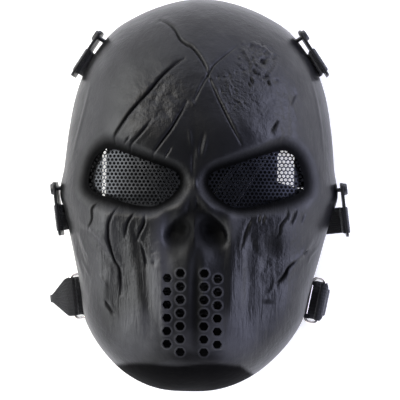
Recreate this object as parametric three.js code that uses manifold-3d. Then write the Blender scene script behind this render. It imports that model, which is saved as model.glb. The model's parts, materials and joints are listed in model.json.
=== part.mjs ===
// A full-face skull mask of black moulded plastic, lying on its rim with the face up.
// X runs across the face, Y from the chin to the crown and Z out of the face.
// Lengths are millimetres, the floor is z = 0 and the origin is under the middle of the mask.

import * as THREE from "three";
import { mergeGeometries, mergeVertices } from "three/addons/utils/BufferGeometryUtils.js";
import Module from "manifold-3d";

const wasm = await Module();
wasm.setup();

// Sizes of the shell
const MASK_HEIGHT = 275;
const MASK_WIDTH = 192;
const FACE_DEPTH = 106; // floor to the dome's top, without the relief
const SHELL_WALL = 3;
const WALL_TALL = 44; // upright wall between the rim and the dome, where it is tallest
const EAR_RISE = 16; // how far the rim lifts beside the ears, above the webbing's passage
const RELIEF = 10; // the unit that the broad forms are shares of
const CHIN_SWAY = 5; // how far the moulding leans to the left at the chin
const SOCKET_SINK = 5;
const SOCKET_REACH = 12; // from the eye opening to where the socket fades out
const CREASE_WIDTH = 2.6;
const CREASE_DEPTH = 1.3;
const SHELL_RINGS = 22; // even, because the inner face has half as many

// Sizes of the eye openings and the perforated eye screens behind them
const EYE_WIDTH = 62.6;
const EYE_HEIGHT = 37.4;
const EYE_ACROSS = 40.5; // middle of the opening, from the middle of the face
const EYE_UP = 10.8;
const SCREEN_SHEET = 0.8;
const SCREEN_DROP = 7; // below the dome's own surface, which leaves the opening its edge
const SCREEN_LAP = 3; // how far the screen reaches behind the shell
const SCREEN_PITCH = 7.8;
const SCREEN_HOLE = 5.6; // across the corners

// Sizes of the breathing holes
const VENT_HOLE = 6.4; // across the corners
const VENT_PITCH = 8.65;
const VENT_TOP = -50.9;
const VENT_COLUMNS = [
  { across: 7.7, drop: 0, count: 7 },
  { across: 16.4, drop: 3.4, count: 6 },
];

// Sizes of the webbing and its fittings
const WEBBING_WIDTH = 18;
const WEBBING = 1.4; // thickness
const STRAP_LAP = 22; // how far a temple strap lies on the ear strap
const GAP = 0.4; // between pieces that meet
const PASSAGE = 4; // rim height over the webbing that runs under it
const BUCKLE_LONG = 37; // along the rim
const BUCKLE_TALL = 24;
const BUCKLE_LIFT = 6; // over the rim
const RIM_SEARCH = 15; // degrees to both sides of a buckle
const BUCKLE_PLATE = 1.6;
const BUCKLE_BAR = 3.2;
const BUCKLE_CORNER = 3;
const BUCKLE_OFF = 2.4; // clear of the wall, which leaves room for the webbing behind it
const STUD_HEAD = 8.7; // diameter
const STUD_HIGH = 2.4;
const STUD_STEM = 3; // diameter
const STUD_BEVEL = 0.6;
const STUD_SIDES = 12;
const STUD_END = 4.6; // from the buckle's end to the stud's middle, plus the head's rim
const RING_WIRE = 2;
const JAW_WEBBING = 27; // width of the jaw strap
const JAW_POINT = 12; // length of the tapered tip of its fold
const RING_PLAY = 1; // room in the ring at each edge of the strap
const RING_OPEN = JAW_WEBBING + 2 * RING_PLAY;
const RING_DEEP = 10.5; // outside, across the webbing's way
const RING_UP = PASSAGE + 3; // height of the wire's middle over the floor
const LUG_LONG = 3; // each of the two eyes on the wall that hold a ring
const LUG_TALL = 5;
const LUG_EDGE = 1.2; // plastic left outside the wire
const WIRE_SIDES = 8;

const HALF_WIDTH = MASK_WIDTH / 2;
const HALF_HEIGHT = MASK_HEIGHT / 2;
const QUARTER = Math.PI / 2;

// The shell round one side, from the chin at -90 degrees past the ear at 0 to the crown at 90.
// reach is the outline's radius, with the width and the height both taken as 1.
// fullness is how square the dome stands there and wall its upright share of WALL_TALL.
// rise is the rim's share of EAR_RISE and pass its share of PASSAGE.
const SIDE = [
  { angle: -90, reach: 0.974, fullness: 5.5, wall: 0.72, rise: 0.5, pass: 1 },
  { angle: -77, reach: 0.985, fullness: 5, wall: 0.86, rise: 0.22, pass: 1 },
  { angle: -66, reach: 0.996, fullness: 4.4, wall: 1, rise: 0, pass: 0 },
  { angle: -54, reach: 1.0, fullness: 3.8, wall: 1, rise: 0, pass: 0 },
  { angle: -44, reach: 0.998, fullness: 3.3, wall: 0.9, rise: 0, pass: 1 },
  { angle: -38, reach: 0.988, fullness: 3, wall: 0.86, rise: 0, pass: 1 },
  { angle: -31, reach: 0.947, fullness: 2.8, wall: 0.82, rise: 0.04, pass: 1 },
  { angle: -23, reach: 0.931, fullness: 2.6, wall: 0.64, rise: 0.3, pass: 1 },
  { angle: -13, reach: 0.936, fullness: 2.4, wall: 0.42, rise: 0.75, pass: 1 },
  { angle: -5, reach: 0.968, fullness: 2.3, wall: 0.26, rise: 0.98, pass: 1 },
  { angle: 0, reach: 1.0, fullness: 2.3, wall: 0.18, rise: 1, pass: 1 },
  { angle: 8, reach: 0.983, fullness: 2.3, wall: 0.14, rise: 0.9, pass: 1 },
  { angle: 19, reach: 1.004, fullness: 2.3, wall: 0.14, rise: 0.5, pass: 1 },
  { angle: 30, reach: 1.04, fullness: 2.35, wall: 0.14, rise: 0.15, pass: 1 },
  { angle: 38, reach: 1.056, fullness: 2.4, wall: 0.14, rise: 0.03, pass: 1 },
  { angle: 44, reach: 1.055, fullness: 2.45, wall: 0.14, rise: 0, pass: 1 },
  { angle: 53, reach: 1.05, fullness: 2.5, wall: 0.14, rise: 0, pass: 0.4 },
  { angle: 62, reach: 1.027, fullness: 2.55, wall: 0.14, rise: 0, pass: 0 },
  { angle: 74, reach: 1.006, fullness: 2.6, wall: 0.14, rise: 0, pass: 0 },
  { angle: 90, reach: 1.0, fullness: 2.6, wall: 0.14, rise: 0, pass: 0 },
];

// Broad forms of the face, on both sides alike. across and wide are shares of half the width,
// up and tall of half the height, and high is a share of RELIEF.
const FORMS = [
  { across: 0, up: 0.373, wide: 0.55, tall: 0.3, high: 0.15 }, // forehead
  { across: 0.408, up: 0.304, wide: 0.34, tall: 0.1, high: 0.32 }, // brow
  { across: 0, up: 0.069, wide: 0.16, tall: 0.12, high: -0.35 }, // root of the nose
  { across: 0, up: -0.196, wide: 0.3, tall: 0.2, high: 0.7 }, // nose
  { across: 0.146, up: -0.167, wide: 0.085, tall: 0.075, high: -0.75 }, // nasal hollow
  { across: 0.194, up: -0.265, wide: 0.12, tall: 0.12, high: -0.35 }, // its lower part
  { across: 0.641, up: -0.128, wide: 0.2, tall: 0.12, high: 0.45 }, // cheekbone
  { across: 0.485, up: -0.412, wide: 0.13, tall: 0.2, high: -0.5 }, // cheek hollow
  { across: 0, up: -0.57, wide: 0.42, tall: 0.24, high: 0.25 }, // teeth
  { across: 0, up: -0.589, wide: 0.04, tall: 0.24, high: -0.3 }, // cleft between them
  { across: 0.835, up: 0.354, wide: 0.18, tall: 0.24, high: -0.3 }, // temple
];

// One eye opening, as shares of half its width and height, from the nose over the top.
const EYE = [
  { across: -1.0, up: -0.13 },
  { across: -0.88, up: 0.24 },
  { across: -0.27, up: 0.61 },
  { across: 0.43, up: 1.0 },
  { across: 0.68, up: 0.97 },
  { across: 0.89, up: 0.6 },
  { across: 1.0, up: -0.1 },
  { across: 0.86, up: -0.5 },
  { across: 0.24, up: -0.85 },
  { across: -0.38, up: -1.0 },
  { across: -0.74, up: -0.74 },
  { across: -0.93, up: -0.42 },
];

// The deep creases and scars. Each point is a share of half the width and half the height.
const CREASES = [
  [[-0.558, 0.255], [-0.418, 0.383], [-0.228, 0.56], [-0.053, 0.668]], // outer forehead crease
  [[-0.461, 0.231], [-0.32, 0.363]], // middle forehead crease
  [[-0.282, 0.196], [-0.165, 0.344], [-0.058, 0.462]], // inner forehead crease
  [[-0.243, 0.845], [-0.087, 0.756], [0.029, 0.668], [0.151, 0.471], [0.301, 0.265]], // long scar
  [[0.267, 0.717], [0.083, 0.57], [-0.019, 0.452]], // short scar
  [[-0.66, -0.02], [-0.704, -0.113], [-0.728, -0.147]], // outer cheek crack
  [[-0.529, -0.049], [-0.583, -0.196], [-0.544, -0.275], [-0.505, -0.412], [-0.495, -0.462]], // cheek crack
  [[-0.33, -0.088], [-0.388, -0.206], [-0.35, -0.295], [-0.33, -0.393]], // inner cheek crack
  [[0.796, -0.196], [0.699, -0.28], [0.602, -0.344], [0.544, -0.412]], // cheek gash
];

// The four strap buckles. turn is the rim's angle in degrees, lean turns the buckle on it and
// sink sets it closer, where the wall curves away beside it.
const BUCKLES = [
  { name: "temple_left", side: -1, turn: 41, lean: 0, sink: 0 },
  { name: "temple_right", side: 1, turn: 42, lean: 0, sink: 0 },
  { name: "ear_left", side: -1, turn: -4.5, lean: 10, sink: 2 },
  { name: "ear_right", side: 1, turn: -4, lean: 27, sink: 2.7 },
];

// The two rings at the jaw. pad is how far the folded end of the jaw strap reaches past the
// ring, and pinch the share of the webbing's width that is left at the fold.
const JAW_RINGS = [
  { name: "left", side: -1, pad: 15, pinch: 0.2 },
  { name: "right", side: 1, pad: 3.2, pinch: 0.7 },
];
const JAW_TURN = -33;

// A cubic through a column of a table whose ends are level.
function column(rows, name, at) {
  const last = rows.length - 1;
  let i = 0;
  while (i < last - 1 && rows[i + 1].angle < at) i++;
  const slope = (k) =>
    k === 0 || k === last
      ? 0
      : (rows[k + 1][name] - rows[k - 1][name]) / (rows[k + 1].angle - rows[k - 1].angle);
  const span = rows[i + 1].angle - rows[i].angle;
  const t = THREE.MathUtils.clamp((at - rows[i].angle) / span, 0, 1);
  const t2 = t * t;
  const t3 = t2 * t;
  return (
    rows[i][name] * (2 * t3 - 3 * t2 + 1) +
    rows[i + 1][name] * (3 * t2 - 2 * t3) +
    span * (slope(i) * (t3 - 2 * t2 + t) + slope(i + 1) * (t3 - t2))
  );
}

// The table's angle for a direction in which the width and the height are both taken as 1.
const tableAngle = (turn) =>
  THREE.MathUtils.radToDeg(Math.atan2(Math.sin(turn), Math.abs(Math.cos(turn))));

const rimHeight = (degrees) =>
  Math.max(0, column(SIDE, "rise", degrees)) * EAR_RISE +
  Math.max(0, column(SIDE, "pass", degrees)) * PASSAGE;

const wallHeight = (degrees) => column(SIDE, "wall", degrees) * WALL_TALL;

const smoothStep = (share) => {
  const t = THREE.MathUtils.clamp(share, 0, 1);
  return t * t * (3 - 2 * t);
};

// The eye opening of one side as a closed ring of points, grown outwards by a margin.
function eyeRing(side, margin, count = 32) {
  const middle = new THREE.Vector2(side * EYE_ACROSS, EYE_UP);
  const spline = new THREE.CatmullRomCurve3(
    EYE.map((p) => new THREE.Vector3((p.across * EYE_WIDTH) / 2, (p.up * EYE_HEIGHT) / 2, 0)),
    true,
  );
  const points = spline.getPoints(count).slice(0, count);
  return points.map((p, i) => {
    const before = points[(i + count - 1) % count];
    const after = points[(i + 1) % count];
    const along = after.clone().sub(before).normalize();
    return new THREE.Vector2(
      middle.x + side * (p.x - along.y * margin),
      middle.y + p.y + along.x * margin,
    );
  });
}

// Distance from a point to a closed ring, negative inside it.
function ringDistance(ring, x, y) {
  let nearest = Infinity;
  let inside = false;
  ring.forEach((a, i) => {
    const b = ring[(i + 1) % ring.length];
    const dx = b.x - a.x;
    const dy = b.y - a.y;
    const t = THREE.MathUtils.clamp(((x - a.x) * dx + (y - a.y) * dy) / (dx * dx + dy * dy), 0, 1);
    nearest = Math.min(nearest, Math.hypot(x - a.x - t * dx, y - a.y - t * dy));
    if (a.y > y !== b.y > y && x < a.x + ((y - a.y) * dx) / dy) inside = !inside;
  });
  return inside ? -nearest : nearest;
}

const RIGHT_EYE = eyeRing(1, 0);

// Height that the forms of the face add to the dome.
function relief(x, y) {
  const across = Math.abs(x) / HALF_WIDTH;
  const up = y / HALF_HEIGHT;
  const forms = FORMS.reduce(
    (sum, f) =>
      sum + f.high * Math.exp(-(((across - f.across) / f.wide) ** 2) - ((up - f.up) / f.tall) ** 2),
    0,
  );
  const socket = smoothStep(1 - ringDistance(RIGHT_EYE, Math.abs(x), y) / SOCKET_REACH);
  return forms * RELIEF - socket * SOCKET_SINK;
}

// How far a point at that height of the face is moved to the left.
const sway = (y) => CHIN_SWAY * Math.min(0, y / HALF_HEIGHT) ** 2;

// The plain dome over a point of the face, and its share of the full lift there.
function dome(x, y) {
  const across = (x + sway(y)) / HALF_WIDTH;
  const up = y / HALF_HEIGHT;
  const degrees = tableAngle(Math.atan2(up, across));
  const base = rimHeight(degrees) + wallHeight(degrees);
  const share = Math.hypot(across, up) / column(SIDE, "reach", degrees);
  const lift = Math.sqrt(Math.max(0, 1 - share ** column(SIDE, "fullness", degrees)));
  return { height: base + (FACE_DEPTH - base) * lift, lift };
}

const reliefFade = (lift) => smoothStep(lift / 0.6);

function faceHeight(x, y) {
  const { height, lift } = dome(x, y);
  return height + relief(x, y) * reliefFade(lift);
}

// A point of the outline, on the rim, and the way out from it.
function rimPoint(degrees, side) {
  const at = (turn) => {
    const reach = column(SIDE, "reach", turn);
    const a = THREE.MathUtils.degToRad(turn);
    const y = reach * Math.sin(a) * HALF_HEIGHT;
    return new THREE.Vector2(side * reach * Math.cos(a) * HALF_WIDTH - sway(y), y);
  };
  const along = at(degrees + 1).sub(at(degrees - 1)).normalize();
  return {
    at: at(degrees),
    up: along, // towards the crown
    out: new THREE.Vector2(side * along.y, -side * along.x),
  };
}

// Radial profiles of the dome, from the middle of the face to the rim, in equal steps of length.
function profile(turn) {
  const degrees = tableAngle(turn);
  const reach = column(SIDE, "reach", degrees);
  const fullness = column(SIDE, "fullness", degrees);
  const radius = reach * Math.hypot(Math.cos(turn) * HALF_WIDTH, Math.sin(turn) * HALF_HEIGHT);
  const wall = wallHeight(degrees);
  const base = rimHeight(degrees) + wall;
  const samples = 240;
  const lengths = [0];
  const on = (q) => [
    Math.sin(q * QUARTER) ** (2 / fullness) * radius,
    (FACE_DEPTH - base) * Math.cos(q * QUARTER),
  ];
  for (let k = 1; k <= samples; k++) {
    const [r0, z0] = on((k - 1) / samples);
    const [r1, z1] = on(k / samples);
    lengths.push(lengths[k - 1] + Math.hypot(r1 - r0, z1 - z0));
  }
  const domeLength = lengths[samples];
  return (share) => {
    const length = share * (domeLength + wall);
    let k = 1;
    while (k < samples && lengths[k] < length) k++;
    const within = Math.min(1, (length - lengths[k - 1]) / (lengths[k] - lengths[k - 1]));
    const q = (k - 1 + within) / samples;
    const [r] = on(q);
    const lift = Math.cos(q * QUARTER);
    const y = (r / radius) * reach * Math.sin(turn) * HALF_HEIGHT;
    const x = (r / radius) * reach * Math.cos(turn) * HALF_WIDTH - sway(y);
    const z = base + (FACE_DEPTH - base) * lift + relief(x, y) * reliefFade(lift);
    return new THREE.Vector3(x, y, z - Math.max(0, length - domeLength));
  };
}

// The way out of the shell at a point of it.
function shellNormal(turn, share) {
  const step = 0.01;
  const inner = Math.max(share - step, 0);
  const outer = Math.min(share + step, 1);
  const here = profile(turn);
  const along = here(outer).sub(here(inner));
  const round = profile(turn + step)(share).sub(profile(turn - step)(share));
  return along.cross(round).normalize();
}

// Rings of 6, 12, 18 and more points round the middle of the face, sunk into the wall by a depth.
function shellRings(rings, depth) {
  const points = [new THREE.Vector3(0, 0, faceHeight(0, 0) - depth)];
  const start = [0];
  for (let ring = 1; ring <= rings; ring++) {
    start.push(points.length);
    for (let i = 0; i < 6 * ring; i++) {
      const turn = (i / (3 * ring)) * Math.PI;
      const p = profile(turn)(ring / rings);
      if (depth > 0) p.addScaledVector(shellNormal(turn, ring / rings), -depth);
      points.push(p);
    }
  }
  const faces = [];
  for (let ring = 1; ring <= rings; ring++) {
    for (let sector = 0; sector < 6; sector++) {
      for (let i = 0; i < ring; i++) {
        const outer = (k) => start[ring] + ((sector * ring + k) % (6 * ring));
        const inner = (k) =>
          ring === 1 ? 0 : start[ring - 1] + ((sector * (ring - 1) + k) % (6 * (ring - 1)));
        faces.push([outer(i), outer(i + 1), inner(i)]);
        if (i < ring - 1) faces.push([outer(i + 1), inner(i + 1), inner(i)]);
      }
    }
  }
  return { points, faces, rim: start[rings], count: 6 * rings };
}

const solidFrom = (points, faces) =>
  new wasm.Manifold(
    new wasm.Mesh({
      numProp: 3,
      vertProperties: new Float32Array(points.flatMap((p) => [p.x, p.y, p.z])),
      triVerts: new Uint32Array(faces.flat()),
    }),
  );

// A three.js geometry as a solid.
function solidOf(geometry) {
  const bare = geometry.clone();
  bare.deleteAttribute("normal");
  bare.deleteAttribute("uv");
  const merged = mergeVertices(bare, 1e-4);
  return new wasm.Manifold(
    new wasm.Mesh({
      numProp: 3,
      vertProperties: new Float32Array(merged.attributes.position.array),
      triVerts: new Uint32Array(merged.index.array),
    }),
  );
}

function geometryOf(solid) {
  const mesh = solid.getMesh();
  const geometry = new THREE.BufferGeometry();
  geometry.setAttribute("position", new THREE.BufferAttribute(mesh.vertProperties, 3));
  geometry.setIndex(new THREE.BufferAttribute(mesh.triVerts, 1));
  const flat = geometry.toNonIndexed();
  flat.computeVertexNormals();
  return flat;
}

// An upright prism of a closed ring of points, counter-clockwise or not.
function prism(ring, low, high) {
  const shape = new THREE.Shape(ring);
  const geometry = new THREE.ExtrudeGeometry(shape, { depth: high - low, bevelEnabled: false });
  return solidOf(geometry.translate(0, 0, low));
}

// A sheet between two heights over a rectangle of the face.
function heightSheet(low, high, cells, top, bottom) {
  const [nx, ny] = cells;
  const points = [];
  for (const height of [top, bottom]) {
    for (let j = 0; j <= ny; j++) {
      for (let i = 0; i <= nx; i++) {
        const x = THREE.MathUtils.lerp(low.x, high.x, i / nx);
        const y = THREE.MathUtils.lerp(low.y, high.y, j / ny);
        points.push(new THREE.Vector3(x, y, height(x, y)));
      }
    }
  }
  const up = (i, j) => j * (nx + 1) + i;
  const down = (i, j) => up(i, j) + (nx + 1) * (ny + 1);
  const faces = [];
  const quad = (a, b, c, d) => faces.push([a, b, c], [a, c, d]);
  for (let j = 0; j < ny; j++) {
    for (let i = 0; i < nx; i++) {
      quad(up(i, j), up(i + 1, j), up(i + 1, j + 1), up(i, j + 1));
      quad(down(i, j), down(i, j + 1), down(i + 1, j + 1), down(i + 1, j));
    }
  }
  for (let i = 0; i < nx; i++) {
    quad(down(i, 0), down(i + 1, 0), up(i + 1, 0), up(i, 0));
    quad(up(i, ny), up(i + 1, ny), down(i + 1, ny), down(i, ny));
  }
  for (let j = 0; j < ny; j++) {
    quad(up(0, j), up(0, j + 1), down(0, j + 1), down(0, j));
    quad(down(nx, j), down(nx, j + 1), up(nx, j + 1), up(nx, j));
  }
  return solidFrom(points, faces);
}

// Upright hexagonal cutters over a list of places.
function hexagons(places, across, low, high) {
  const prisms = places.map(([x, y]) => {
    const hexagon = new THREE.CylinderGeometry(across / 2, across / 2, high - low, 6);
    hexagon.rotateX(QUARTER).rotateZ(QUARTER);
    return hexagon.translate(x, y, (low + high) / 2);
  });
  return solidOf(mergeGeometries(prisms));
}

const screenHeight = (x, y) => dome(x, y).height - SCREEN_DROP;

// The room over a rectangle round one eye, with a margin.
function eyeRoom(side, margin) {
  const xs = eyeRing(side, margin).map((p) => p.x);
  const ys = eyeRing(side, margin).map((p) => p.y);
  return [
    new THREE.Vector2(Math.min(...xs) - 1, Math.min(...ys) - 1),
    new THREE.Vector2(Math.max(...xs) + 1, Math.max(...ys) + 1),
  ];
}

// The space that one eye screen needs behind the shell.
function screenSeat(side) {
  const [low, high] = eyeRoom(side, SCREEN_LAP + GAP);
  const sheet = heightSheet(low, high, [8, 5], (x, y) => screenHeight(x, y) + GAP, () => EAR_RISE);
  return sheet.intersect(prism(eyeRing(side, SCREEN_LAP + GAP), 0, 2 * FACE_DEPTH));
}

function eyeScreen(side) {
  const [low, high] = eyeRoom(side, SCREEN_LAP);
  const sheet = heightSheet(
    low,
    high,
    [8, 5],
    screenHeight,
    (x, y) => screenHeight(x, y) - SCREEN_SHEET,
  );
  const blank = sheet.intersect(prism(eyeRing(side, SCREEN_LAP), 0, 2 * FACE_DEPTH));
  const ring = eyeRing(side, 0);
  const rowStep = SCREEN_PITCH * Math.sin(Math.PI / 3);
  const places = [];
  for (let row = 0; low.y + row * rowStep < high.y; row++) {
    for (let i = 0; low.x + i * SCREEN_PITCH < high.x; i++) {
      const x = low.x + (i + (row % 2) / 2) * SCREEN_PITCH;
      const y = low.y + row * rowStep;
      if (ringDistance(ring, x, y) < -SCREEN_HOLE / 2) places.push([x, y]);
    }
  }
  return blank.subtract(hexagons(places, SCREEN_HOLE, 0, 2 * FACE_DEPTH));
}

// A wedge that cuts one crease, following the face and thinning to nothing at both ends.
function creaseCutter(shares) {
  const corners = shares.map(
    ([across, up]) => new THREE.Vector3(across * HALF_WIDTH, up * HALF_HEIGHT, 0),
  );
  const curve = new THREE.CatmullRomCurve3(corners);
  const steps = Math.max(3, Math.round(curve.getLength() / (3 * CREASE_WIDTH)));
  const points = [];
  for (let i = 0; i <= steps; i++) {
    const at = curve.getPointAt(i / steps);
    const way = curve.getTangentAt(i / steps);
    const size = Math.sqrt(Math.sin((Math.PI * (i + 0.5)) / (steps + 1)));
    const half = (size * CREASE_WIDTH) / 2;
    const surface = faceHeight(at.x, at.y);
    const side = new THREE.Vector3(-way.y, way.x, 0);
    const brim = (reach) => {
      const p = at.clone().addScaledVector(side, reach * half);
      p.z = surface + CREASE_DEPTH;
      return p;
    };
    const foot = at.clone();
    foot.z = surface - size * CREASE_DEPTH;
    points.push(brim(2), brim(-2), foot);
  }
  const faces = [[0, 1, 2]];
  for (let i = 0; i < steps; i++) {
    for (let k = 0; k < 3; k++) {
      const a = 3 * i + k;
      const b = 3 * i + ((k + 1) % 3);
      faces.push([a, a + 3, b + 3], [a, b + 3, b]);
    }
  }
  faces.push([3 * steps, 3 * steps + 2, 3 * steps + 1]);
  const cutter = solidFrom(points, faces);
  return cutter.volume() > 0 ? cutter : solidFrom(points, faces.map(([a, b, c]) => [a, c, b]));
}

function ventPlaces() {
  return VENT_COLUMNS.flatMap(({ across, drop, count }) =>
    Array.from({ length: count }, (_, i) => VENT_TOP - drop - i * VENT_PITCH).flatMap((y) => [
      [across, y],
      [-across, y],
    ]),
  );
}

// The lowest rim over the webbing that passes under it, beside a buckle at an angle.
function lowestRim(turn, side) {
  const middle = rimPoint(turn, side);
  let lowest = Infinity;
  for (let near = turn - RIM_SEARCH; near <= turn + RIM_SEARCH; near++) {
    const along = rimPoint(near, side).at.sub(middle.at).dot(middle.up);
    if (Math.abs(along - WEB_ALONG) < WEBBING_WIDTH / 2) lowest = Math.min(lowest, rimHeight(near));
  }
  return lowest;
}

// Where a buckle lies: its middle, the way along the rim and the way out of the wall. A buckle
// that leans has turned about its stud.
function buckleFrame({ side, turn, lean, sink }) {
  const { at, up, out } = rimPoint(turn, side);
  const tilt = THREE.MathUtils.degToRad(side * lean);
  const leaning = (way) => way.clone().rotateAround(new THREE.Vector2(), tilt);
  at.addScaledVector(up, STUD_ALONG).addScaledVector(leaning(up), -STUD_ALONG);
  at.addScaledVector(out, -sink);
  const rim = lowestRim(turn, side);
  const flat = (p) => new THREE.Vector3(p.x, p.y, 0);
  return {
    at: flat(at),
    up: flat(leaning(up)),
    out: flat(leaning(out)),
    rim,
    low: rim + BUCKLE_LIFT,
  };
}

// A point in a buckle's own frame: along the rim, out of the wall and above the floor.
const inFrame = (frame, along, out, z) =>
  frame.at
    .clone()
    .addScaledVector(frame.up, along)
    .addScaledVector(frame.out, out)
    .setZ(z);

// How far out of the wall each layer of a buckle starts.
const INNER_WEB = BUCKLE_OFF - GAP - WEBBING;
const OUTER_WEB = BUCKLE_OFF + BUCKLE_PLATE + GAP;
const STUD_ALONG = BUCKLE_LONG / 2 - STUD_END;
const WEB_ALONG = BUCKLE_BAR + WEBBING_WIDTH / 2 - BUCKLE_LONG / 2 + GAP;
const SLOT_TALL = (BUCKLE_TALL - 3 * BUCKLE_BAR) / 2;

// A flat plate with rounded corners and two slots, standing against the wall.
function buckleBody(frame) {
  const corner = BUCKLE_CORNER;
  const w = BUCKLE_LONG / 2;
  const h = BUCKLE_TALL / 2;
  const plate = new THREE.Shape();
  plate.moveTo(-w + corner, -h);
  plate.lineTo(w - corner, -h);
  plate.absarc(w - corner, -h + corner, corner, -QUARTER, 0);
  plate.lineTo(w, h - corner);
  plate.absarc(w - corner, h - corner, corner, 0, QUARTER);
  plate.lineTo(-w + corner, h);
  plate.absarc(-w + corner, h - corner, corner, QUARTER, 2 * QUARTER);
  plate.lineTo(-w, -h + corner);
  plate.absarc(-w + corner, -h + corner, corner, 2 * QUARTER, 3 * QUARTER);
  const slotHalf = WEBBING_WIDTH / 2 + GAP;
  for (const low of [BUCKLE_BAR - h, BUCKLE_BAR / 2]) {
    const slot = new THREE.Path();
    slot.moveTo(WEB_ALONG - slotHalf, low);
    slot.lineTo(WEB_ALONG - slotHalf, low + SLOT_TALL);
    slot.lineTo(WEB_ALONG + slotHalf, low + SLOT_TALL);
    slot.lineTo(WEB_ALONG + slotHalf, low);
    slot.closePath();
    plate.holes.push(slot);
  }
  const hole = new THREE.Path();
  hole.absarc(STUD_ALONG, 0, STUD_STEM / 2 + 2 * GAP, 0, 4 * QUARTER, true);
  plate.holes.push(hole);
  const geometry = new THREE.ExtrudeGeometry(plate, {
    depth: BUCKLE_PLATE,
    bevelEnabled: false,
    curveSegments: 3,
  });
  return solidOf(geometry).transform(
    uprightMatrix(frame, BUCKLE_OFF, frame.low + BUCKLE_TALL / 2).elements,
  );
}

// Carries x along the rim, y up or down and z out of the wall, to a height over the floor. On
// the left, where the three ways would be left-handed, y points down.
function uprightMatrix(frame, out, z) {
  const upright = new THREE.Vector3(0, 0, Math.sign(frame.at.x));
  return new THREE.Matrix4()
    .makeBasis(frame.up, upright, frame.out)
    .setPosition(inFrame(frame, 0, out, z));
}

// A stud through the buckle's plain end and into the shell, and the hole that it needs.
function studSolid(frame, grow, length) {
  const z = frame.low + BUCKLE_TALL / 2;
  const stem = new THREE.CylinderGeometry(
    STUD_STEM / 2 + grow,
    STUD_STEM / 2 + grow,
    OUTER_WEB + STUD_HIGH / 2 + length,
    STUD_SIDES,
  );
  stem.translate(0, (OUTER_WEB + STUD_HIGH / 2 - length) / 2, 0);
  const parts = [solidOf(stem)];
  if (grow === 0) {
    const brim = STUD_HEAD / 2;
    const head = new THREE.CylinderGeometry(brim - STUD_BEVEL, brim, STUD_HIGH, STUD_SIDES);
    head.translate(0, OUTER_WEB + STUD_HIGH / 2, 0);
    parts.push(solidOf(head));
  }
  const turn = new THREE.Quaternion().setFromUnitVectors(new THREE.Vector3(0, 1, 0), frame.out);
  const place = new THREE.Matrix4().compose(
    inFrame(frame, STUD_ALONG, 0, z),
    turn,
    new THREE.Vector3(1, 1, 1),
  );
  return parts.reduce((a, b) => a.add(b)).transform(place.elements);
}

// A band of webbing through stations, each with the way across the band.
function band(stations) {
  const points = [];
  stations.forEach(({ at, across }, i) => {
    const before = stations[Math.max(i - 1, 0)].at;
    const after = stations[Math.min(i + 1, stations.length - 1)].at;
    const facing = after.clone().sub(before).cross(across).normalize();
    for (const [a, f] of [[-1, -1], [1, -1], [1, 1], [-1, 1]]) {
      points.push(
        at
          .clone()
          .addScaledVector(across, (a * WEBBING_WIDTH) / 2)
          .addScaledVector(facing, (f * WEBBING) / 2),
      );
    }
  });
  const faces = [[0, 2, 1], [0, 3, 2]];
  for (let i = 0; i + 1 < stations.length; i++) {
    for (let k = 0; k < 4; k++) {
      const a = 4 * i + k;
      const b = 4 * i + ((k + 1) % 4);
      faces.push([a, b, b + 4], [a, b + 4, a + 4]);
    }
  }
  const last = 4 * (stations.length - 1);
  faces.push([last, last + 1, last + 2], [last, last + 2, last + 3]);
  const made = solidFrom(points, faces);
  return made.volume() > 0 ? made : solidFrom(points, faces.map(([a, b, c]) => [a, c, b]));
}

const FLOOR_WEB = WEBBING / 2; // middle of webbing that lies on the floor

// The strap's way through one buckle: the free end outside, in through the upper slot, down the
// wall and under the rim to the floor inside.
function throughBuckle(frame) {
  const outer = OUTER_WEB + WEBBING / 2;
  const inner = INNER_WEB + WEBBING / 2;
  const round = (outer - inner) / 2;
  const slot = frame.low + (BUCKLE_TALL + BUCKLE_BAR + SLOT_TALL) / 2;
  const turn = slot - round / 2;
  const way = [
    [outer, frame.low + BUCKLE_BAR],
    [outer, turn],
  ];
  for (const quarter of [0.5, 1, 1.5]) {
    const a = quarter * QUARTER;
    way.push([inner + round + round * Math.cos(a), turn + round * Math.sin(a)]);
  }
  way.push(
    [inner, turn],
    [inner, frame.low],
    [inner, frame.rim - WEBBING],
    [inner - WEBBING / 3, frame.rim - 1.5 * WEBBING],
    [inner - WEBBING, Math.max(frame.rim - 2 * WEBBING, FLOOR_WEB)],
  );
  const drop = Math.max(frame.rim - PASSAGE, 0);
  if (drop > 0) way.push([-SHELL_WALL - drop / 2, FLOOR_WEB + drop / 2]);
  way.push([-SHELL_WALL - drop - 2 * WEBBING, FLOOR_WEB]);
  return way.map(([out, z]) => ({ at: inFrame(frame, WEB_ALONG, out, z), across: frame.up }));
}

// The ear strap, whole, straight across the floor under the face.
const earStrap = (left, right) => band([...throughBuckle(left), ...throughBuckle(right).reverse()]);

// One temple strap, from its buckle to where it is sewn on the ear strap.
function templeStrap(frame) {
  const stations = throughBuckle(frame);
  const start = stations[stations.length - 1].at;
  const side = Math.sign(frame.at.x);
  const junction = inFrame(buckleFrames.ear_left, WEB_ALONG, 0, FLOOR_WEB).y;
  const run = new THREE.Vector3(side * (WEBBING_WIDTH / 2 + GAP), junction, FLOOR_WEB).sub(start);
  const length = run.length();
  const way = run.normalize();
  const across = new THREE.Vector3(-side * way.y, side * way.x, 0);
  const raised = FLOOR_WEB + WEBBING + GAP;
  for (const [reach, z] of [
    [WEBBING_WIDTH, FLOOR_WEB],
    [length - STRAP_LAP - WEBBING_WIDTH, FLOOR_WEB],
    [length - STRAP_LAP, raised],
    [length, raised],
  ]) {
    stations.push({ at: start.clone().addScaledVector(way, reach).setZ(z), across });
  }
  return band(stations);
}

const RING_OUT = LUG_EDGE / 2 + GAP + RING_WIRE / 2; // the inner bar's middle, off the wall
const RING_FAR = RING_OUT + RING_DEEP - RING_WIRE; // the outer bar's middle

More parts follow.
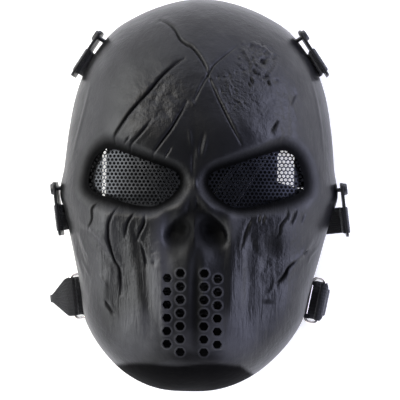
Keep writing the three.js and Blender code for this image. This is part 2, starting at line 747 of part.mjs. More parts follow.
// A rectangular wire ring that lies level, with its inner bar beside the wall.
function jawRing(frame) {
  const half = (RING_OPEN + RING_WIRE) / 2;
  const deep = (RING_FAR - RING_OUT) / 2;
  const soft = RING_WIRE;
  const corners = [
    [half - soft, deep], [half, deep - soft], [half, soft - deep], [half - soft, -deep],
    [soft - half, -deep], [-half, soft - deep], [-half, deep - soft], [soft - half, deep],
  ];
  const middle = (RING_OUT + RING_FAR) / 2;
  const centre = corners.map(([along, o]) => inFrame(frame, along, middle + o, RING_UP));
  const points = [];
  centre.forEach((at, i) => {
    const before = centre[(i + centre.length - 1) % centre.length];
    const after = centre[(i + 1) % centre.length];
    const outward = after.clone().sub(before).normalize().cross(new THREE.Vector3(0, 0, 1));
    for (let k = 0; k < WIRE_SIDES; k++) {
      const turn = (k / WIRE_SIDES) * 4 * QUARTER;
      points.push(
        at
          .clone()
          .addScaledVector(outward, (Math.cos(turn) * RING_WIRE) / 2)
          .setZ(at.z + (Math.sin(turn) * RING_WIRE) / 2),
      );
    }
  });
  const faces = [];
  centre.forEach((_, i) => {
    const next = (i + 1) % centre.length;
    for (let k = 0; k < WIRE_SIDES; k++) {
      const a = i * WIRE_SIDES + k;
      const b = i * WIRE_SIDES + ((k + 1) % WIRE_SIDES);
      const c = next * WIRE_SIDES + ((k + 1) % WIRE_SIDES);
      const d = next * WIRE_SIDES + k;
      faces.push([a, b, c], [a, c, d]);
    }
  });
  const made = solidFrom(points, faces);
  return made.volume() > 0 ? made : solidFrom(points, faces.map(([a, b, c]) => [a, c, b]));
}

// The two eyes on the wall that hold the ring's inner bar.
function ringLugs(frame) {
  const deep = SHELL_WALL / 2 + RING_OUT + RING_WIRE / 2 + GAP + LUG_EDGE;
  const lugs = [-1, 1].map((end) => {
    const box = new THREE.BoxGeometry(LUG_LONG, LUG_TALL, deep);
    return box.translate((end * (RING_OPEN - LUG_LONG - 6 * GAP)) / 2, 0, 0);
  });
  const bar = new THREE.CylinderGeometry(
    RING_WIRE / 2 + GAP,
    RING_WIRE / 2 + GAP,
    RING_OPEN,
    WIRE_SIDES,
  );
  const place = (geometry, out) =>
    solidOf(geometry).transform(uprightMatrix(frame, out, RING_UP).elements);
  return place(mergeGeometries(lugs), deep / 2 - SHELL_WALL / 2).subtract(
    place(bar.rotateZ(QUARTER), RING_OUT),
  );
}

// The jaw strap: folded round the outer bar of each ring, then flat under the rim to the other.
function jawStrap(ends) {
  const half = ({ frame, pad, pinch }) => {
    const round = RING_WIRE / 2 + GAP + WEBBING / 2; // from the wire's middle to the webbing's
    const bevel = round * (1 - Math.tan(QUARTER / 4)); // a corner of the octagon round the wire
    const far = RING_FAR + RING_WIRE / 2 + pad;
    const top = RING_UP + round;
    const fold = (top + FLOOR_WEB) / 2;
    const shoulder = Math.max(RING_FAR + round, far - JAW_POINT);
    const way = [
      { out: RING_FAR - round, z: FLOOR_WEB + WEBBING + GAP, width: 1 },
      { out: RING_FAR - round, z: top - bevel, width: 1 },
      { out: RING_FAR - round + bevel, z: top, width: 1 },
      { out: shoulder, z: top, width: 1 },
      { out: far - WEBBING, z: fold + WEBBING, width: pinch },
      { out: far, z: fold, width: pinch },
      { out: far - WEBBING, z: FLOOR_WEB, width: pinch },
      { out: shoulder, z: FLOOR_WEB, width: 1 },
      { out: -SHELL_WALL, z: FLOOR_WEB, width: 1 },
    ];
    return way.map(({ out, z, width }) => ({
      at: inFrame(frame, 0, out, z),
      across: frame.up.clone().multiplyScalar((width * JAW_WEBBING) / WEBBING_WIDTH),
    }));
  };
  return band([...half(ends[0]), ...half(ends[1]).reverse()]);
}

const buckleFrames = Object.fromEntries(BUCKLES.map((b) => [b.name, buckleFrame(b)]));

const jawEnds = JAW_RINGS.map((end) => ({
  ...end,
  frame: buckleFrame({ side: end.side, turn: JAW_TURN, lean: 0, sink: 0 }),
}));

function shellSolid() {
  const outer = shellRings(SHELL_RINGS, 0);
  const inner = shellRings(SHELL_RINGS / 2, SHELL_WALL);
  const shift = outer.points.length;
  const faces = [
    ...outer.faces,
    ...inner.faces.map(([a, b, c]) => [a + shift, c + shift, b + shift]),
  ];
  for (let i = 0; i < inner.count; i++) {
    const a = outer.rim + 2 * i;
    const b = outer.rim + 2 * i + 1;
    const c = outer.rim + ((2 * i + 2) % outer.count);
    const d = shift + inner.rim + i;
    const e = shift + inner.rim + ((i + 1) % inner.count);
    faces.push([b, a, d], [b, d, e], [c, b, e]);
  }
  let shell = solidFrom([...outer.points, ...inner.points], faces);
  for (const side of [-1, 1]) {
    shell = shell.subtract(prism(eyeRing(side, 0), EAR_RISE, 2 * FACE_DEPTH));
    shell = shell.subtract(screenSeat(side));
  }
  shell = shell.subtract(hexagons(ventPlaces(), VENT_HOLE, EAR_RISE, 2 * FACE_DEPTH));
  for (const crease of CREASES) shell = shell.subtract(creaseCutter(crease));
  for (const frame of Object.values(buckleFrames)) {
    shell = shell.subtract(studSolid(frame, GAP, 2 * SHELL_WALL + 4));
  }
  for (const { frame } of jawEnds) shell = shell.add(ringLugs(frame));
  return shell;
}

const COLOURS = {
  plastic: { color: 0x2b2d31, roughness: 0.5, metalness: 0 },
  steel: { color: 0x8c8f94, roughness: 0.35, metalness: 1 },
  webbing: { color: 0x0c0c0e, roughness: 0.9, metalness: 0 },
  fitting: { color: 0x17181a, roughness: 0.45, metalness: 0 },
  chrome: { color: 0xd8d4cc, roughness: 0.15, metalness: 1 },
};

const mask = new THREE.Group();

function add(name, finish, solid) {
  const mesh = new THREE.Mesh(geometryOf(solid), new THREE.MeshStandardMaterial(COLOURS[finish]));
  mesh.name = name;
  mask.add(mesh);
}

add("shell", "plastic", shellSolid());
add("eye_screen_left", "steel", eyeScreen(-1));
add("eye_screen_right", "steel", eyeScreen(1));
for (const [name, frame] of Object.entries(buckleFrames)) {
  add("buckle_" + name, "fitting", buckleBody(frame));
  add("stud_" + name, "fitting", studSolid(frame, 0, SHELL_WALL + 2));
}
add("strap_ear", "webbing", earStrap(buckleFrames.ear_left, buckleFrames.ear_right));
add("strap_temple_left", "webbing", templeStrap(buckleFrames.temple_left));
add("strap_temple_right", "webbing", templeStrap(buckleFrames.temple_right));

for (const { name, frame } of jawEnds) add("ring_jaw_" + name, "chrome", jawRing(frame));
add("strap_jaw", "webbing", jawStrap(jawEnds));

// The origin goes under the middle of the whole mask.
const room = new THREE.Box3().setFromObject(mask);
const middle = room.getCenter(new THREE.Vector3());
for (const piece of mask.children) piece.geometry.translate(-middle.x, -middle.y, -room.min.z);

export default mask;
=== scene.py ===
# %% [markdown]
# A skull mask of dark moulded plastic
#
# The mask lies on its rim with the face up, on a pale table under soft studio light. The plastic
# face is drawn as one smooth shell with every crack and scar in it, the eye screens as real
# perforated steel, and the straps as woven webbing. X runs across the face, Y from the chin to
# the crown and Z up. Sizes are written in millimetres and turned into metres by MM.

# %% The frame
import json
import math

import bmesh
import bpy
import numpy as np
from mathutils import Matrix, Vector

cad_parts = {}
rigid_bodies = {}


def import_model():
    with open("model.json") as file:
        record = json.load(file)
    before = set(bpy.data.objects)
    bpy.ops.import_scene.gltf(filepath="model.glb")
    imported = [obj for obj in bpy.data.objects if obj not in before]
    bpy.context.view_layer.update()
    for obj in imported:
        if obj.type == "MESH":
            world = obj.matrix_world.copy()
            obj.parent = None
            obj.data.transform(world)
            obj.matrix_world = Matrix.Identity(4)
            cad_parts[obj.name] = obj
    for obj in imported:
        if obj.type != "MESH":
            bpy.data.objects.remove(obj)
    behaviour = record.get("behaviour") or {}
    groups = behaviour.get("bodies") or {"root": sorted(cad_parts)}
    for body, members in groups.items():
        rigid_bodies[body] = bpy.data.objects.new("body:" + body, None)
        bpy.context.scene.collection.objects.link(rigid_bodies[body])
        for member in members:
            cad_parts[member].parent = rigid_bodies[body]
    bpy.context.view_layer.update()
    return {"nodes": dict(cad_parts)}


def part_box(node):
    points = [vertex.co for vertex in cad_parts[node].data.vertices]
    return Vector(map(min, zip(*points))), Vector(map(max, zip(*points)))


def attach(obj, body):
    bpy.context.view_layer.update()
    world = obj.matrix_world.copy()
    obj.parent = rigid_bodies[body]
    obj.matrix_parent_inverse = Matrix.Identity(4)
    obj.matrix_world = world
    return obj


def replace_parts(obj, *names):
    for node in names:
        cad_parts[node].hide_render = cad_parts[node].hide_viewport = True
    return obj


MM = 0.001
for leftover in list(bpy.data.objects):
    bpy.data.objects.remove(leftover)
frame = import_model()

# %% [markdown]
# Small helpers
#
# Colours are written as hex, as a painter would pick them on a screen, and one function turns
# them into the linear values that the shader works with. Another adds a shader node, sets it up
# and wires it, so that each material below reads as a short list.


# %% Colours and shader nodes
def linear(hex_colour):
    channels = [int(hex_colour[i : i + 2], 16) / 255 for i in (1, 3, 5)]
    return [c / 12.92 if c <= 0.04045 else ((c + 0.055) / 1.055) ** 2.4 for c in channels] + [1.0]


def add_node(tree, kind, inputs=None, **settings):
    """Adds a node. inputs maps a socket's name or number to a value or to another socket."""
    node = tree.nodes.new(kind)
    for name, value in settings.items():
        setattr(node, name, value)
    for key, value in (inputs or {}).items():
        if isinstance(value, bpy.types.NodeSocket):
            tree.links.new(value, node.inputs[key])
        else:
            node.inputs[key].default_value = value
    return node


def new_material(name):
    """A material with only its Principled shader, which is returned with the tree."""
    material = bpy.data.materials.new(name)
    material.use_nodes = True
    return material, material.node_tree, material.node_tree.nodes["Principled BSDF"]


def mesh_object(name, points, faces, smooth=True):
    """A mesh from points in metres. Faces may be of mixed sizes."""
    mesh = bpy.data.meshes.new(name)
    mesh.from_pydata([tuple(p) for p in points], [], [tuple(int(i) for i in f) for f in faces])
    mesh.update()
    if smooth:
        mesh.shade_smooth()
    obj = bpy.data.objects.new(name, mesh)
    bpy.context.scene.collection.objects.link(obj)
    return obj


def outward(obj):
    """Turns every face of a closed mesh outward."""
    bm = bmesh.new()
    bm.from_mesh(obj.data)
    bmesh.ops.recalc_face_normals(bm, faces=bm.faces)
    bm.to_mesh(obj.data)
    bm.free()
    return obj


def sharp_edges(obj, degrees):
    """Shades smooth, except across edges that fold by more than that angle."""
    obj.data.shade_smooth()
    obj.data.set_sharp_from_angle(angle=math.radians(degrees))
    return obj


# %% [markdown]
# The form of the face
#
# The real shell is vacuum-formed or injection-moulded over a carved master. Round its edge it has
# an upright wall, and a dome over that. For each direction from the middle of the face a table
# gives how far the outline reaches, how square the dome is, how tall the wall stands and how high
# the rim lifts off the table, and a smooth cubic joins the rows. Gaussian bumps and hollows then
# push the brow, nose, cheekbones and temples out of the dome. A formula, and not sculpting, keeps
# every size editable.

# %% Sizes of the shell
MASK_HEIGHT = 275.0
MASK_WIDTH = 192.0
FACE_DEPTH = 106.0
SHELL_WALL = 3.0
WALL_TALL = 44.0
EAR_RISE = 16.0
PASSAGE = 4.0
RELIEF = 10.0
CHIN_SWAY = 5.0

EYE_WIDTH = 62.6
EYE_HEIGHT = 37.4
EYE_ACROSS = 40.5
EYE_UP = 10.8

VENT_HOLE = 6.2
VENT_PITCH = 8.65
VENT_TOP = -50.9
VENT_COLUMNS = [(7.7, 0.0, 7), (16.4, 3.4, 6)]

HALF_W = MASK_WIDTH / 2
HALF_H = MASK_HEIGHT / 2

# angle, reach, fullness, wall, rise, pass
SIDE = np.array(
    [
        (-90, 0.974, 5.5, 0.72, 0.5, 1),
        (-77, 0.985, 5, 0.86, 0.22, 1),
        (-66, 0.996, 4.4, 1, 0, 0),
        (-54, 1.0, 3.8, 1, 0, 0),
        (-44, 0.998, 3.3, 0.9, 0, 1),
        (-38, 0.988, 3, 0.86, 0, 1),
        (-31, 0.947, 2.8, 0.82, 0.04, 1),
        (-23, 0.931, 2.6, 0.64, 0.3, 1),
        (-13, 0.936, 2.4, 0.42, 0.75, 1),
        (-5, 0.968, 2.3, 0.26, 0.98, 1),
        (0, 1.0, 2.3, 0.18, 1, 1),
        (8, 0.983, 2.3, 0.14, 0.9, 1),
        (19, 1.004, 2.3, 0.14, 0.5, 1),
        (30, 1.04, 2.35, 0.14, 0.15, 1),
        (38, 1.056, 2.4, 0.14, 0.03, 1),
        (44, 1.055, 2.45, 0.14, 0, 1),
        (53, 1.05, 2.5, 0.14, 0, 0.4),
        (62, 1.027, 2.55, 0.14, 0, 0),
        (74, 1.006, 2.6, 0.14, 0, 0),
        (90, 1.0, 2.6, 0.14, 0, 0),
    ],
    dtype=float,
)
REACH, FULLNESS, WALL, RISE, PASS = range(1, 6)

# across, up, wide, tall, high: shares of half the width, half the height and RELIEF
FORMS = [
    (0, 0.373, 0.534, 0.295, 0.15),
    (0.408, 0.304, 0.33, 0.098, 0.32),
    (0, 0.069, 0.155, 0.118, -0.35),
    (0, -0.196, 0.291, 0.196, 0.7),
    (0.146, -0.167, 0.083, 0.074, -0.75),
    (0.194, -0.265, 0.117, 0.118, -0.35),
    (0.641, -0.128, 0.194, 0.118, 0.45),
    (0.486, -0.412, 0.126, 0.196, -0.5),
    (0, -0.57, 0.408, 0.236, 0.25),
    (0.835, 0.354, 0.175, 0.236, -0.3),
]

EYE = [
    (-1.0, -0.13),
    (-0.88, 0.24),
    (-0.27, 0.61),
    (0.43, 1.0),
    (0.68, 0.97),
    (0.89, 0.6),
    (1.0, -0.1),
    (0.86, -0.5),
    (0.24, -0.85),
    (-0.38, -1.0),
    (-0.74, -0.74),
    (-0.93, -0.42),
]


# %% Formulas of the shell
def column(index, degrees):
    """A cubic through one column of SIDE, level at both ends."""
    xs, ys = SIDE[:, 0], SIDE[:, index]
    slopes = np.zeros(len(xs))
    slopes[1:-1] = (ys[2:] - ys[:-2]) / (xs[2:] - xs[:-2])
    i = np.clip(np.searchsorted(xs, degrees, side="right") - 1, 0, len(xs) - 2)
    span = xs[i + 1] - xs[i]
    t = np.clip((degrees - xs[i]) / span, 0, 1)
    return (
        ys[i] * (2 * t**3 - 3 * t**2 + 1)
        + ys[i + 1] * (3 * t**2 - 2 * t**3)
        + span * (slopes[i] * (t**3 - 2 * t**2 + t) + slopes[i + 1] * (t**3 - t**2))
    )


def side_angle(turn):
    return np.degrees(np.arctan2(np.sin(turn), np.abs(np.cos(turn))))


def rim_height(degrees):
    rise = np.maximum(0, column(RISE, degrees)) * EAR_RISE
    return rise + np.maximum(0, column(PASS, degrees)) * PASSAGE


def smooth_step(share):
    t = np.clip(share, 0, 1)
    return t * t * (3 - 2 * t)


def spline_point(a, b, c, d, t):
    """The point at share t between b and c on a smooth curve through four points."""
    return 0.5 * (2 * b + (c - a) * t + (2 * a - 5 * b + 4 * c - d) * t**2 + (3 * b - a - 3 * c + d) * t**3)


def closed_spline(points, count):
    """A smooth closed curve through points, in equal steps of its parameter."""
    p = np.array(points, dtype=float)
    n = len(p)
    s = np.arange(count) * n / count
    i = s.astype(int)
    t = (s - i)[:, None]
    a, b, c, d = (p[(i + k) % n] for k in (-1, 0, 1, 2))
    return spline_point(a, b, c, d, t)


def eye_ring(side, margin=0.0, count=96):
    """The eye opening's edge in millimetres, grown outwards by a margin."""
    ring = closed_spline(EYE, count) * [EYE_WIDTH / 2, EYE_HEIGHT / 2]
    along = np.roll(ring, -1, axis=0) - np.roll(ring, 1, axis=0)
    along /= np.linalg.norm(along, axis=1)[:, None]
    grown = ring + margin * np.stack([-along[:, 1], along[:, 0]], axis=1)
    return np.stack([side * (EYE_ACROSS + grown[:, 0]), EYE_UP + grown[:, 1]], axis=1)


def ring_distance(ring, x, y):
    """Distance to a closed ring, negative inside it."""
    nearest = np.full(x.shape, np.inf)
    inside = np.zeros(x.shape, dtype=bool)
    for a, b in zip(ring, np.roll(ring, -1, axis=0)):
        d = b - a
        t = np.clip(((x - a[0]) * d[0] + (y - a[1]) * d[1]) / (d @ d), 0, 1)
        nearest = np.minimum(nearest, np.hypot(x - a[0] - t * d[0], y - a[1] - t * d[1]))
        if a[1] != b[1]:
            crosses = ((a[1] > y) != (b[1] > y)) & (x < a[0] + (y - a[1]) * d[0] / d[1])
            inside ^= crosses
    return np.where(inside, -nearest, nearest)


def relief(x, y):
    """What the broad forms add to the dome, in millimetres."""
    across, up = np.abs(x) / HALF_W, y / HALF_H
    total = np.zeros(x.shape)
    for a, u, wide, tall, high in FORMS:
        total += high * np.exp(-(((across - a) / wide) ** 2) - ((up - u) / tall) ** 2)
    return total * RELIEF


def sway(y):
    """How far a point at that height of the face is moved to the left."""
    return CHIN_SWAY * np.minimum(0, y / HALF_H) ** 2


TURNS, SHARES, SAMPLES = 720, 256, 400


def profile_table():
    """Points of the plain shell for TURNS directions and SHARES equal steps from middle to rim."""
    turns = np.arange(TURNS + 1) * 2 * np.pi / TURNS
    degrees = side_angle(turns)
    reach, fullness = column(REACH, degrees), column(FULLNESS, degrees)
    wall = column(WALL, degrees) * WALL_TALL
    base = rim_height(degrees) + wall
    radius = reach * np.hypot(np.cos(turns) * HALF_W, np.sin(turns) * HALF_H)
    table = np.zeros((TURNS + 1, SHARES + 1, 3))
    q = np.linspace(0, 1, SAMPLES + 1) * np.pi / 2
    for i, turn in enumerate(turns):
        r = np.sin(q) ** (2 / fullness[i]) * radius[i]
        z = (FACE_DEPTH - base[i]) * np.cos(q)
        lengths = np.concatenate([[0], np.cumsum(np.hypot(np.diff(r), np.diff(z)))])
        wanted = np.linspace(0, 1, SHARES + 1) * (lengths[-1] + wall[i])
        on = np.interp(wanted, lengths, q)
        share = np.sin(on) ** (2 / fullness[i]) * reach[i]
        y = share * np.sin(turn) * HALF_H
        x = share * np.cos(turn) * HALF_W - sway(y)
        lift = np.cos(on)
        z = base[i] + (FACE_DEPTH - base[i]) * lift + relief(x, y) * smooth_step(lift / 0.6)
        table[i] = np.stack([x, y, z - np.maximum(0, wanted - lengths[-1])], axis=1)
    return table


TABLE = profile_table()


def on_shell(plan):
    """Maps points of the unit disc onto the plain shell, in millimetres."""
    turn = np.mod(np.arctan2(plan[:, 1], plan[:, 0]), 2 * np.pi) * TURNS / (2 * np.pi)
    share = np.minimum(np.hypot(plan[:, 0], plan[:, 1]), 1) * SHARES
    i = np.minimum(turn.astype(int), TURNS - 1)
    j = np.minimum(share.astype(int), SHARES - 1)
    ft, fs = (turn - i)[:, None], (share - j)[:, None]
    return (TABLE[i, j] * (1 - fs) + TABLE[i, j + 1] * fs) * (1 - ft) + (
        TABLE[i + 1, j] * (1 - fs) + TABLE[i + 1, j + 1] * fs
    ) * ft


print("shell table:", TABLE.shape, "top", round(float(TABLE[..., 2].max()), 1), "mm")

# %% [markdown]
# The drawing of the face
#
# The cracks, scars and folds are carved by hand in the master that the real mask is moulded from.
# They are drawn here as strokes on a front view that is 400 units across, seen from where the
# camera stands, and each unit is about two thirds of a millimetre on the face. Working in the
# front view keeps a stroke's place simple, even where the cheek falls away steeply: a point of
# the shell is first projected into the view, and the distance to each stroke is measured there.

# %% The front view
VIEW_FAR = 1300.0  # the camera's distance from the table
VIEW_SCALE = VIEW_FAR / 0.7077  # units per millimetre at one millimetre's distance
VIEW_YAW = math.radians(2.4)
VIEW_ROLL = math.radians(0.8)
VIEW_MIDDLE = (200.5, 195.0)


def front_view(points):
    """Where points in millimetres appear in the front view, as across and down."""
    x, y, z = points.T
    c, s = math.cos(VIEW_YAW), math.sin(VIEW_YAW)
    depth = VIEW_FAR - (x * s + z * c)
    u = VIEW_SCALE * (x * c - z * s) / depth
    v = -VIEW_SCALE * y / depth
    c, s = math.cos(VIEW_ROLL), math.sin(VIEW_ROLL)
    return np.stack([VIEW_MIDDLE[0] + u * c - v * s, VIEW_MIDDLE[1] + u * s + v * c], axis=1)


def open_spline(points, per_span=6):
    """A smooth open curve through points."""
    p = np.array(points, dtype=float)
    if len(p) < 3:
        return p
    p = np.vstack([2 * p[0] - p[1], p, 2 * p[-1] - p[-2]])
    curve = []
    for a, b, c, d in zip(p, p[1:], p[2:], p[3:]):
        for t in np.arange(per_span) / per_span:
            curve.append(spline_point(a, b, c, d, t))
    curve.append(p[-2])
    return np.array(curve)


def near_stroke(points, u, v, margin):
    """Which places lie in the rectangle round a stroke, widened by a margin."""
    (left, top), (right, bottom) = np.min(points, axis=0), np.max(points, axis=0)
    return (u > left - margin) & (u < right + margin) & (v > top - margin) & (v < bottom + margin)


def stroke_distance(points, u, v):
    """Signed distance to an open line, positive on its right as it runs, and the share along it."""
    line = open_spline(points)
    lengths = np.concatenate([[0], np.cumsum(np.linalg.norm(np.diff(line, axis=0), axis=1))])
    nearest = np.full(u.shape, 1e9)
    signed = np.zeros(u.shape)
    share = np.zeros(u.shape)
    for k, (a, b) in enumerate(zip(line, line[1:])):
        d = b - a
        size = d @ d
        if size < 1e-9:
            continue
        t = np.clip(((u - a[0]) * d[0] + (v - a[1]) * d[1]) / size, 0, 1)
        eu, ev = u - a[0] - t * d[0], v - a[1] - t * d[1]
        e = np.hypot(eu, ev)
        closer = e < nearest
        nearest = np.where(closer, e, nearest)
        signed = np.where(closer, np.sign(d[0] * ev - d[1] * eu) * e, signed)
        share = np.where(closer, (lengths[k] + t * (lengths[k + 1] - lengths[k])) / lengths[-1], share)
    return signed, share


# %% Strokes: deep cracks
# Each is a list of points, its half width in view units, its depth and the height of its right
# and left lips, both in millimetres.
CRACKS = [
    (
        [
            (184, 58.7), (173.9, 65), (161.2, 76.5), (148.4, 91.8), (131.8, 109.7),
            (121.6, 123.7), (114, 136.5), (112, 144),
        ],
        1.5, 1.3, 0.1, 0.45,
    ),
    (
        [
            (186.7, 102), (177.8, 117.3), (170.1, 130.1), (162.4, 140.3), (153.5, 153),
            (152.2, 157),
        ],
        1.4, 1.1, 0.1, 0.4,
    ),
    ([(151, 119.9), (140.8, 132.7), (130.6, 144.1), (127.4, 151.8)], 1.3, 0.9, 0.1, 0.35),
    ([(129.3, 136.5), (122.9, 144.1)], 1.1, 0.6, 0.0, 0.25),
    ([(171.4, 146.7), (164.4, 158.2)], 1.2, 0.7, 0.0, 0.3),
    (
        [
            (160.5, 21), (168.8, 24.2), (175.2, 30.6), (180.3, 39.5), (186.7, 44.6),
            (191.8, 47.2), (199.4, 56.1), (205.8, 67.6), (208.4, 76.5),
        ],
        1.5, 1.0, 0.25, 0.5,
    ),
    ([(208.4, 76.5), (218.6, 99.5), (228.8, 120), (241.6, 144.8)], 1.2, 0.8, 0.1, 0.5),
    (
        [
            (236.5, 46.6), (223.8, 56.1), (213.6, 65), (208.5, 74), (202.1, 84.2), (193, 103.3),
        ],
        1.3, 0.7, 0.1, 0.45,
    ),
    ([(96.8, 201.9), (92, 208.3), (91.7, 219.1), (88.5, 228.7)], 1.3, 1.0, 0.1, 0.4),
    (
        [
            (116.6, 207), (111.5, 215.3), (108.3, 223.6), (107.9, 231.9), (108.3, 239.5),
            (110.8, 248.5), (114.6, 260.6), (119.1, 268.9), (120.4, 282.9), (121, 294.4),
        ],
        1.5, 1.3, 0.2, 0.5,
    ),
    ([(133.8, 213.4), (128, 221.7), (125.5, 230.6), (125.2, 237)], 1.3, 0.9, 0.1, 0.35),
    ([(144.6, 215.3), (143.3, 224.2), (139.5, 231.9), (136.3, 240.2)], 1.4, 1.0, 0.1, 0.4),
    ([(139.5, 242.1), (142.7, 254.2), (145.3, 267)], 1.3, 0.8, 0.1, 0.35),
    ([(104.8, 300.2), (108.5, 307), (113.5, 314.3)], 1.4, 0.9, 0.3, 0.3),
    ([(297.4, 259.9), (288.5, 267.6), (284.6, 275.3), (276.4, 284.8)], 1.6, 1.4, 0.3, 0.4),
    ([(307, 250.4), (303.1, 254.8)], 1.3, 0.8, 0.1, 0.3),
    ([(278.8, 119.8), (275, 127), (271.9, 132.8)], 1.4, 0.9, 0.2, 0.3),
    ([(296.4, 93.8), (291, 105.3)], 1.2, 0.5, 0.1, 0.2),
    ([(259.8, 215.3), (257.9, 222.3)], 1.1, 0.6, 0.1, 0.2),
    ([(264.6, 215.3), (262.3, 223.6)], 1.1, 0.6, 0.1, 0.2),
    ([(297.4, 209.6), (291, 225.5)], 1.2, 0.7, 0.1, 0.3),
    ([(304.4, 214), (301.2, 223.6)], 1.1, 0.5, 0.1, 0.2),
    ([(289.1, 208.3), (287.2, 217.2), (280.8, 225.5), (279.5, 233.2), (275.7, 238.3)], 1.3, 0.8, 0.1, 0.35),
    ([(251.5, 218.5), (246.4, 231.9), (243.2, 243.4), (240.6, 249.7)], 1.4, 0.8, 0.1, 0.3),
    ([(249, 75.7), (253, 84.4)], 1.2, 0.8, 0.2, 0.2),
    ([(248, 82.3), (250.5, 87.4)], 1.1, 0.6, 0.1, 0.2),
    ([(267.3, 79.8), (269.9, 85.9)], 1.2, 0.8, 0.2, 0.2),
    ([(251.5, 68), (255, 72.5), (259.7, 75.2)], 1.3, 0.7, 0.3, 0.2),
]

# %% Strokes: folds, ridges and troughs
# Each is a list of points, its half width in view units and its height in millimetres, which is
# negative for a trough.
FOLDS = [
    ([(197.1, 147), (198.8, 160)], 2.0, 0.7),
    ([(207.4, 134.4), (204.5, 147), (201.7, 159.6)], 1.8, 0.8),
    ([(204, 132), (200.5, 147), (199, 156)], 1.4, -0.6),
    ([(189, 128.6), (191.3, 147.6)], 1.8, 0.6),
    ([(193, 152), (192.5, 175)], 1.8, -0.8),
    ([(185.6, 180), (184.4, 192)], 1.8, 0.6),
    ([(194.8, 177), (195.3, 189)], 1.8, 0.7),
    ([(133.8, 228.7), (137, 246), (137.6, 263.8), (138.2, 274.6)], 3.0, -1.3),
    ([(71.2, 230.7), (76.6, 252.4), (83.1, 276.3)], 1.5, 0.7),
    ([(78.8, 230.7), (85.3, 249.2), (90.7, 260)], 1.4, 0.6),
    ([(82, 260), (86.5, 268.5), (90.7, 277.4)], 1.3, 0.6),
    ([(75, 231), (81, 252), (87, 270)], 1.6, -0.6),
    ([(99.4, 274.1), (103.5, 281), (107.5, 287.7)], 1.6, 0.7),
    ([(70, 224), (87.5, 233), (100, 247), (111.3, 262.2), (120, 276.3)], 3.2, -1.2),
    ([(72, 217), (90, 226), (104, 241), (116, 258), (123, 272)], 3.4, 0.8),
    ([(314, 237.6), (307.6, 246.6), (299.9, 256.8), (291, 264.4), (280.8, 274)], 2.4, 0.9),
    ([(318.4, 247.2), (310.2, 255.5), (307, 265)], 1.5, 0.6),
    ([(273.8, 286), (268, 294)], 1.8, 0.7),
    ([(252, 238), (254.5, 247), (257, 257)], 2.8, -1.0),
    ([(291.8, 113), (291.8, 126), (291.8, 139)], 3.2, -0.7),
    ([(281, 129), (281, 143)], 1.8, 0.5),
    ([(223, 70), (227.5, 83), (232, 96)], 1.3, 0.35),
    ([(227, 69), (232, 83), (236, 94)], 1.2, -0.3),
    ([(235.7, 100), (247, 103), (255.6, 105)], 1.3, 0.3),
    ([(195.7, 242), (195.7, 275), (195.4, 308), (195, 340)], 5.0, -1.5),
    ([(243, 48), (247, 57), (252, 66), (250, 74)], 1.5, 0.8),
    ([(250, 43), (260, 46), (269, 52), (273, 60)], 1.5, 0.8),
    ([(266, 76), (273, 70), (277, 61)], 1.5, 0.7),
    ([(243, 72), (252, 79), (263, 81)], 1.6, 0.7),
    ([(256, 52), (254, 59), (258, 66), (266, 68)], 1.3, 0.7),
    ([(228, 78), (232, 86), (240, 92)], 1.2, 0.5),
    ([(232, 98), (240, 102), (246, 110)], 1.2, 0.5),
    ([(163, 205), (160, 235), (161, 270), (163, 310), (166, 345)], 5.0, 1.2),
    ([(146, 215), (144, 250), (146, 290), (150, 330)], 6.0, -1.8),
    ([(227, 205), (231, 235), (231, 270), (230, 310), (227, 345)], 5.0, 1.2),
    ([(247, 215), (250, 250), (249, 290), (246, 330)], 6.0, -1.8),
    ([(188, 242), (187.5, 275), (187.5, 310)], 3.0, 0.35),
    ([(203, 248), (203.5, 280), (203.5, 312)], 3.0, 0.35),
    ([(211, 351), (219, 350.6), (227.6, 350.4)], 1.1, -0.35),
    ([(258, 332), (258, 344)], 0.9, -0.2),
    ([(139.5, 364), (157.4, 363), (176.5, 359), (195.7, 360), (209.7, 359), (240.3, 363)], 3.5, 0.5),
    ([(91, 81.6), (83.4, 114.8), (78.3, 133.9), (71.9, 159.4)], 1.4, 0.5),
    ([(308, 71.4), (314.3, 91.8), (320, 121.2), (324, 159.4)], 1.4, 0.45),
]

# Round dents and bumps: across, down, half widths along and across, turn in degrees and height.
DENTS = [
    (263.8, 61.4, 3.0, 3.0, 0, -1.6),
    (269.9, 49.7, 3.2, 2.2, 30, -0.8),
    (276, 80.3, 2.4, 2.0, 0, -0.8),
    (243.4, 51.2, 2.6, 2.0, 40, 0.5),
    (240.8, 64.5, 2.6, 2.2, 0, 0.45),
    (242.9, 43.1, 2.2, 1.8, 0, 0.4),
    (217.9, 77.8, 1.6, 1.6, 0, -0.7),
    (193.0, 103.3, 2.2, 1.8, 60, 0.6),
    (258, 82, 7.0, 5.0, 20, -0.6),
    (262, 70, 5.0, 3.0, -30, 0.4),
    (275, 248, 6.5, 11.0, 0, -1.6),
    (265.5, 262, 5.0, 6.0, 0, -1.0),
    (182.5, 229, 5.0, 9.0, 12, -2.2),
    (208.5, 229, 5.0, 9.0, -12, -2.2),
    (195.4, 232, 2.2, 14.0, 0, 1.2),
]


def pocks(seed, count, middle, spread, radii, heights):
    """Small pits and bumps scattered over one place of the face."""
    random = np.random.default_rng(seed)
    made = []
    for _ in range(count):
        turn, far = random.uniform(0, 2 * math.pi), math.sqrt(random.uniform(0, 1))
        u, v = middle[0] + spread[0] * far * math.cos(turn), middle[1] + spread[1] * far * math.sin(turn)
        ru, rv = random.uniform(*radii, 2)
        made.append((u, v, ru, rv, random.uniform(0, 180), random.uniform(*heights)))
    return made


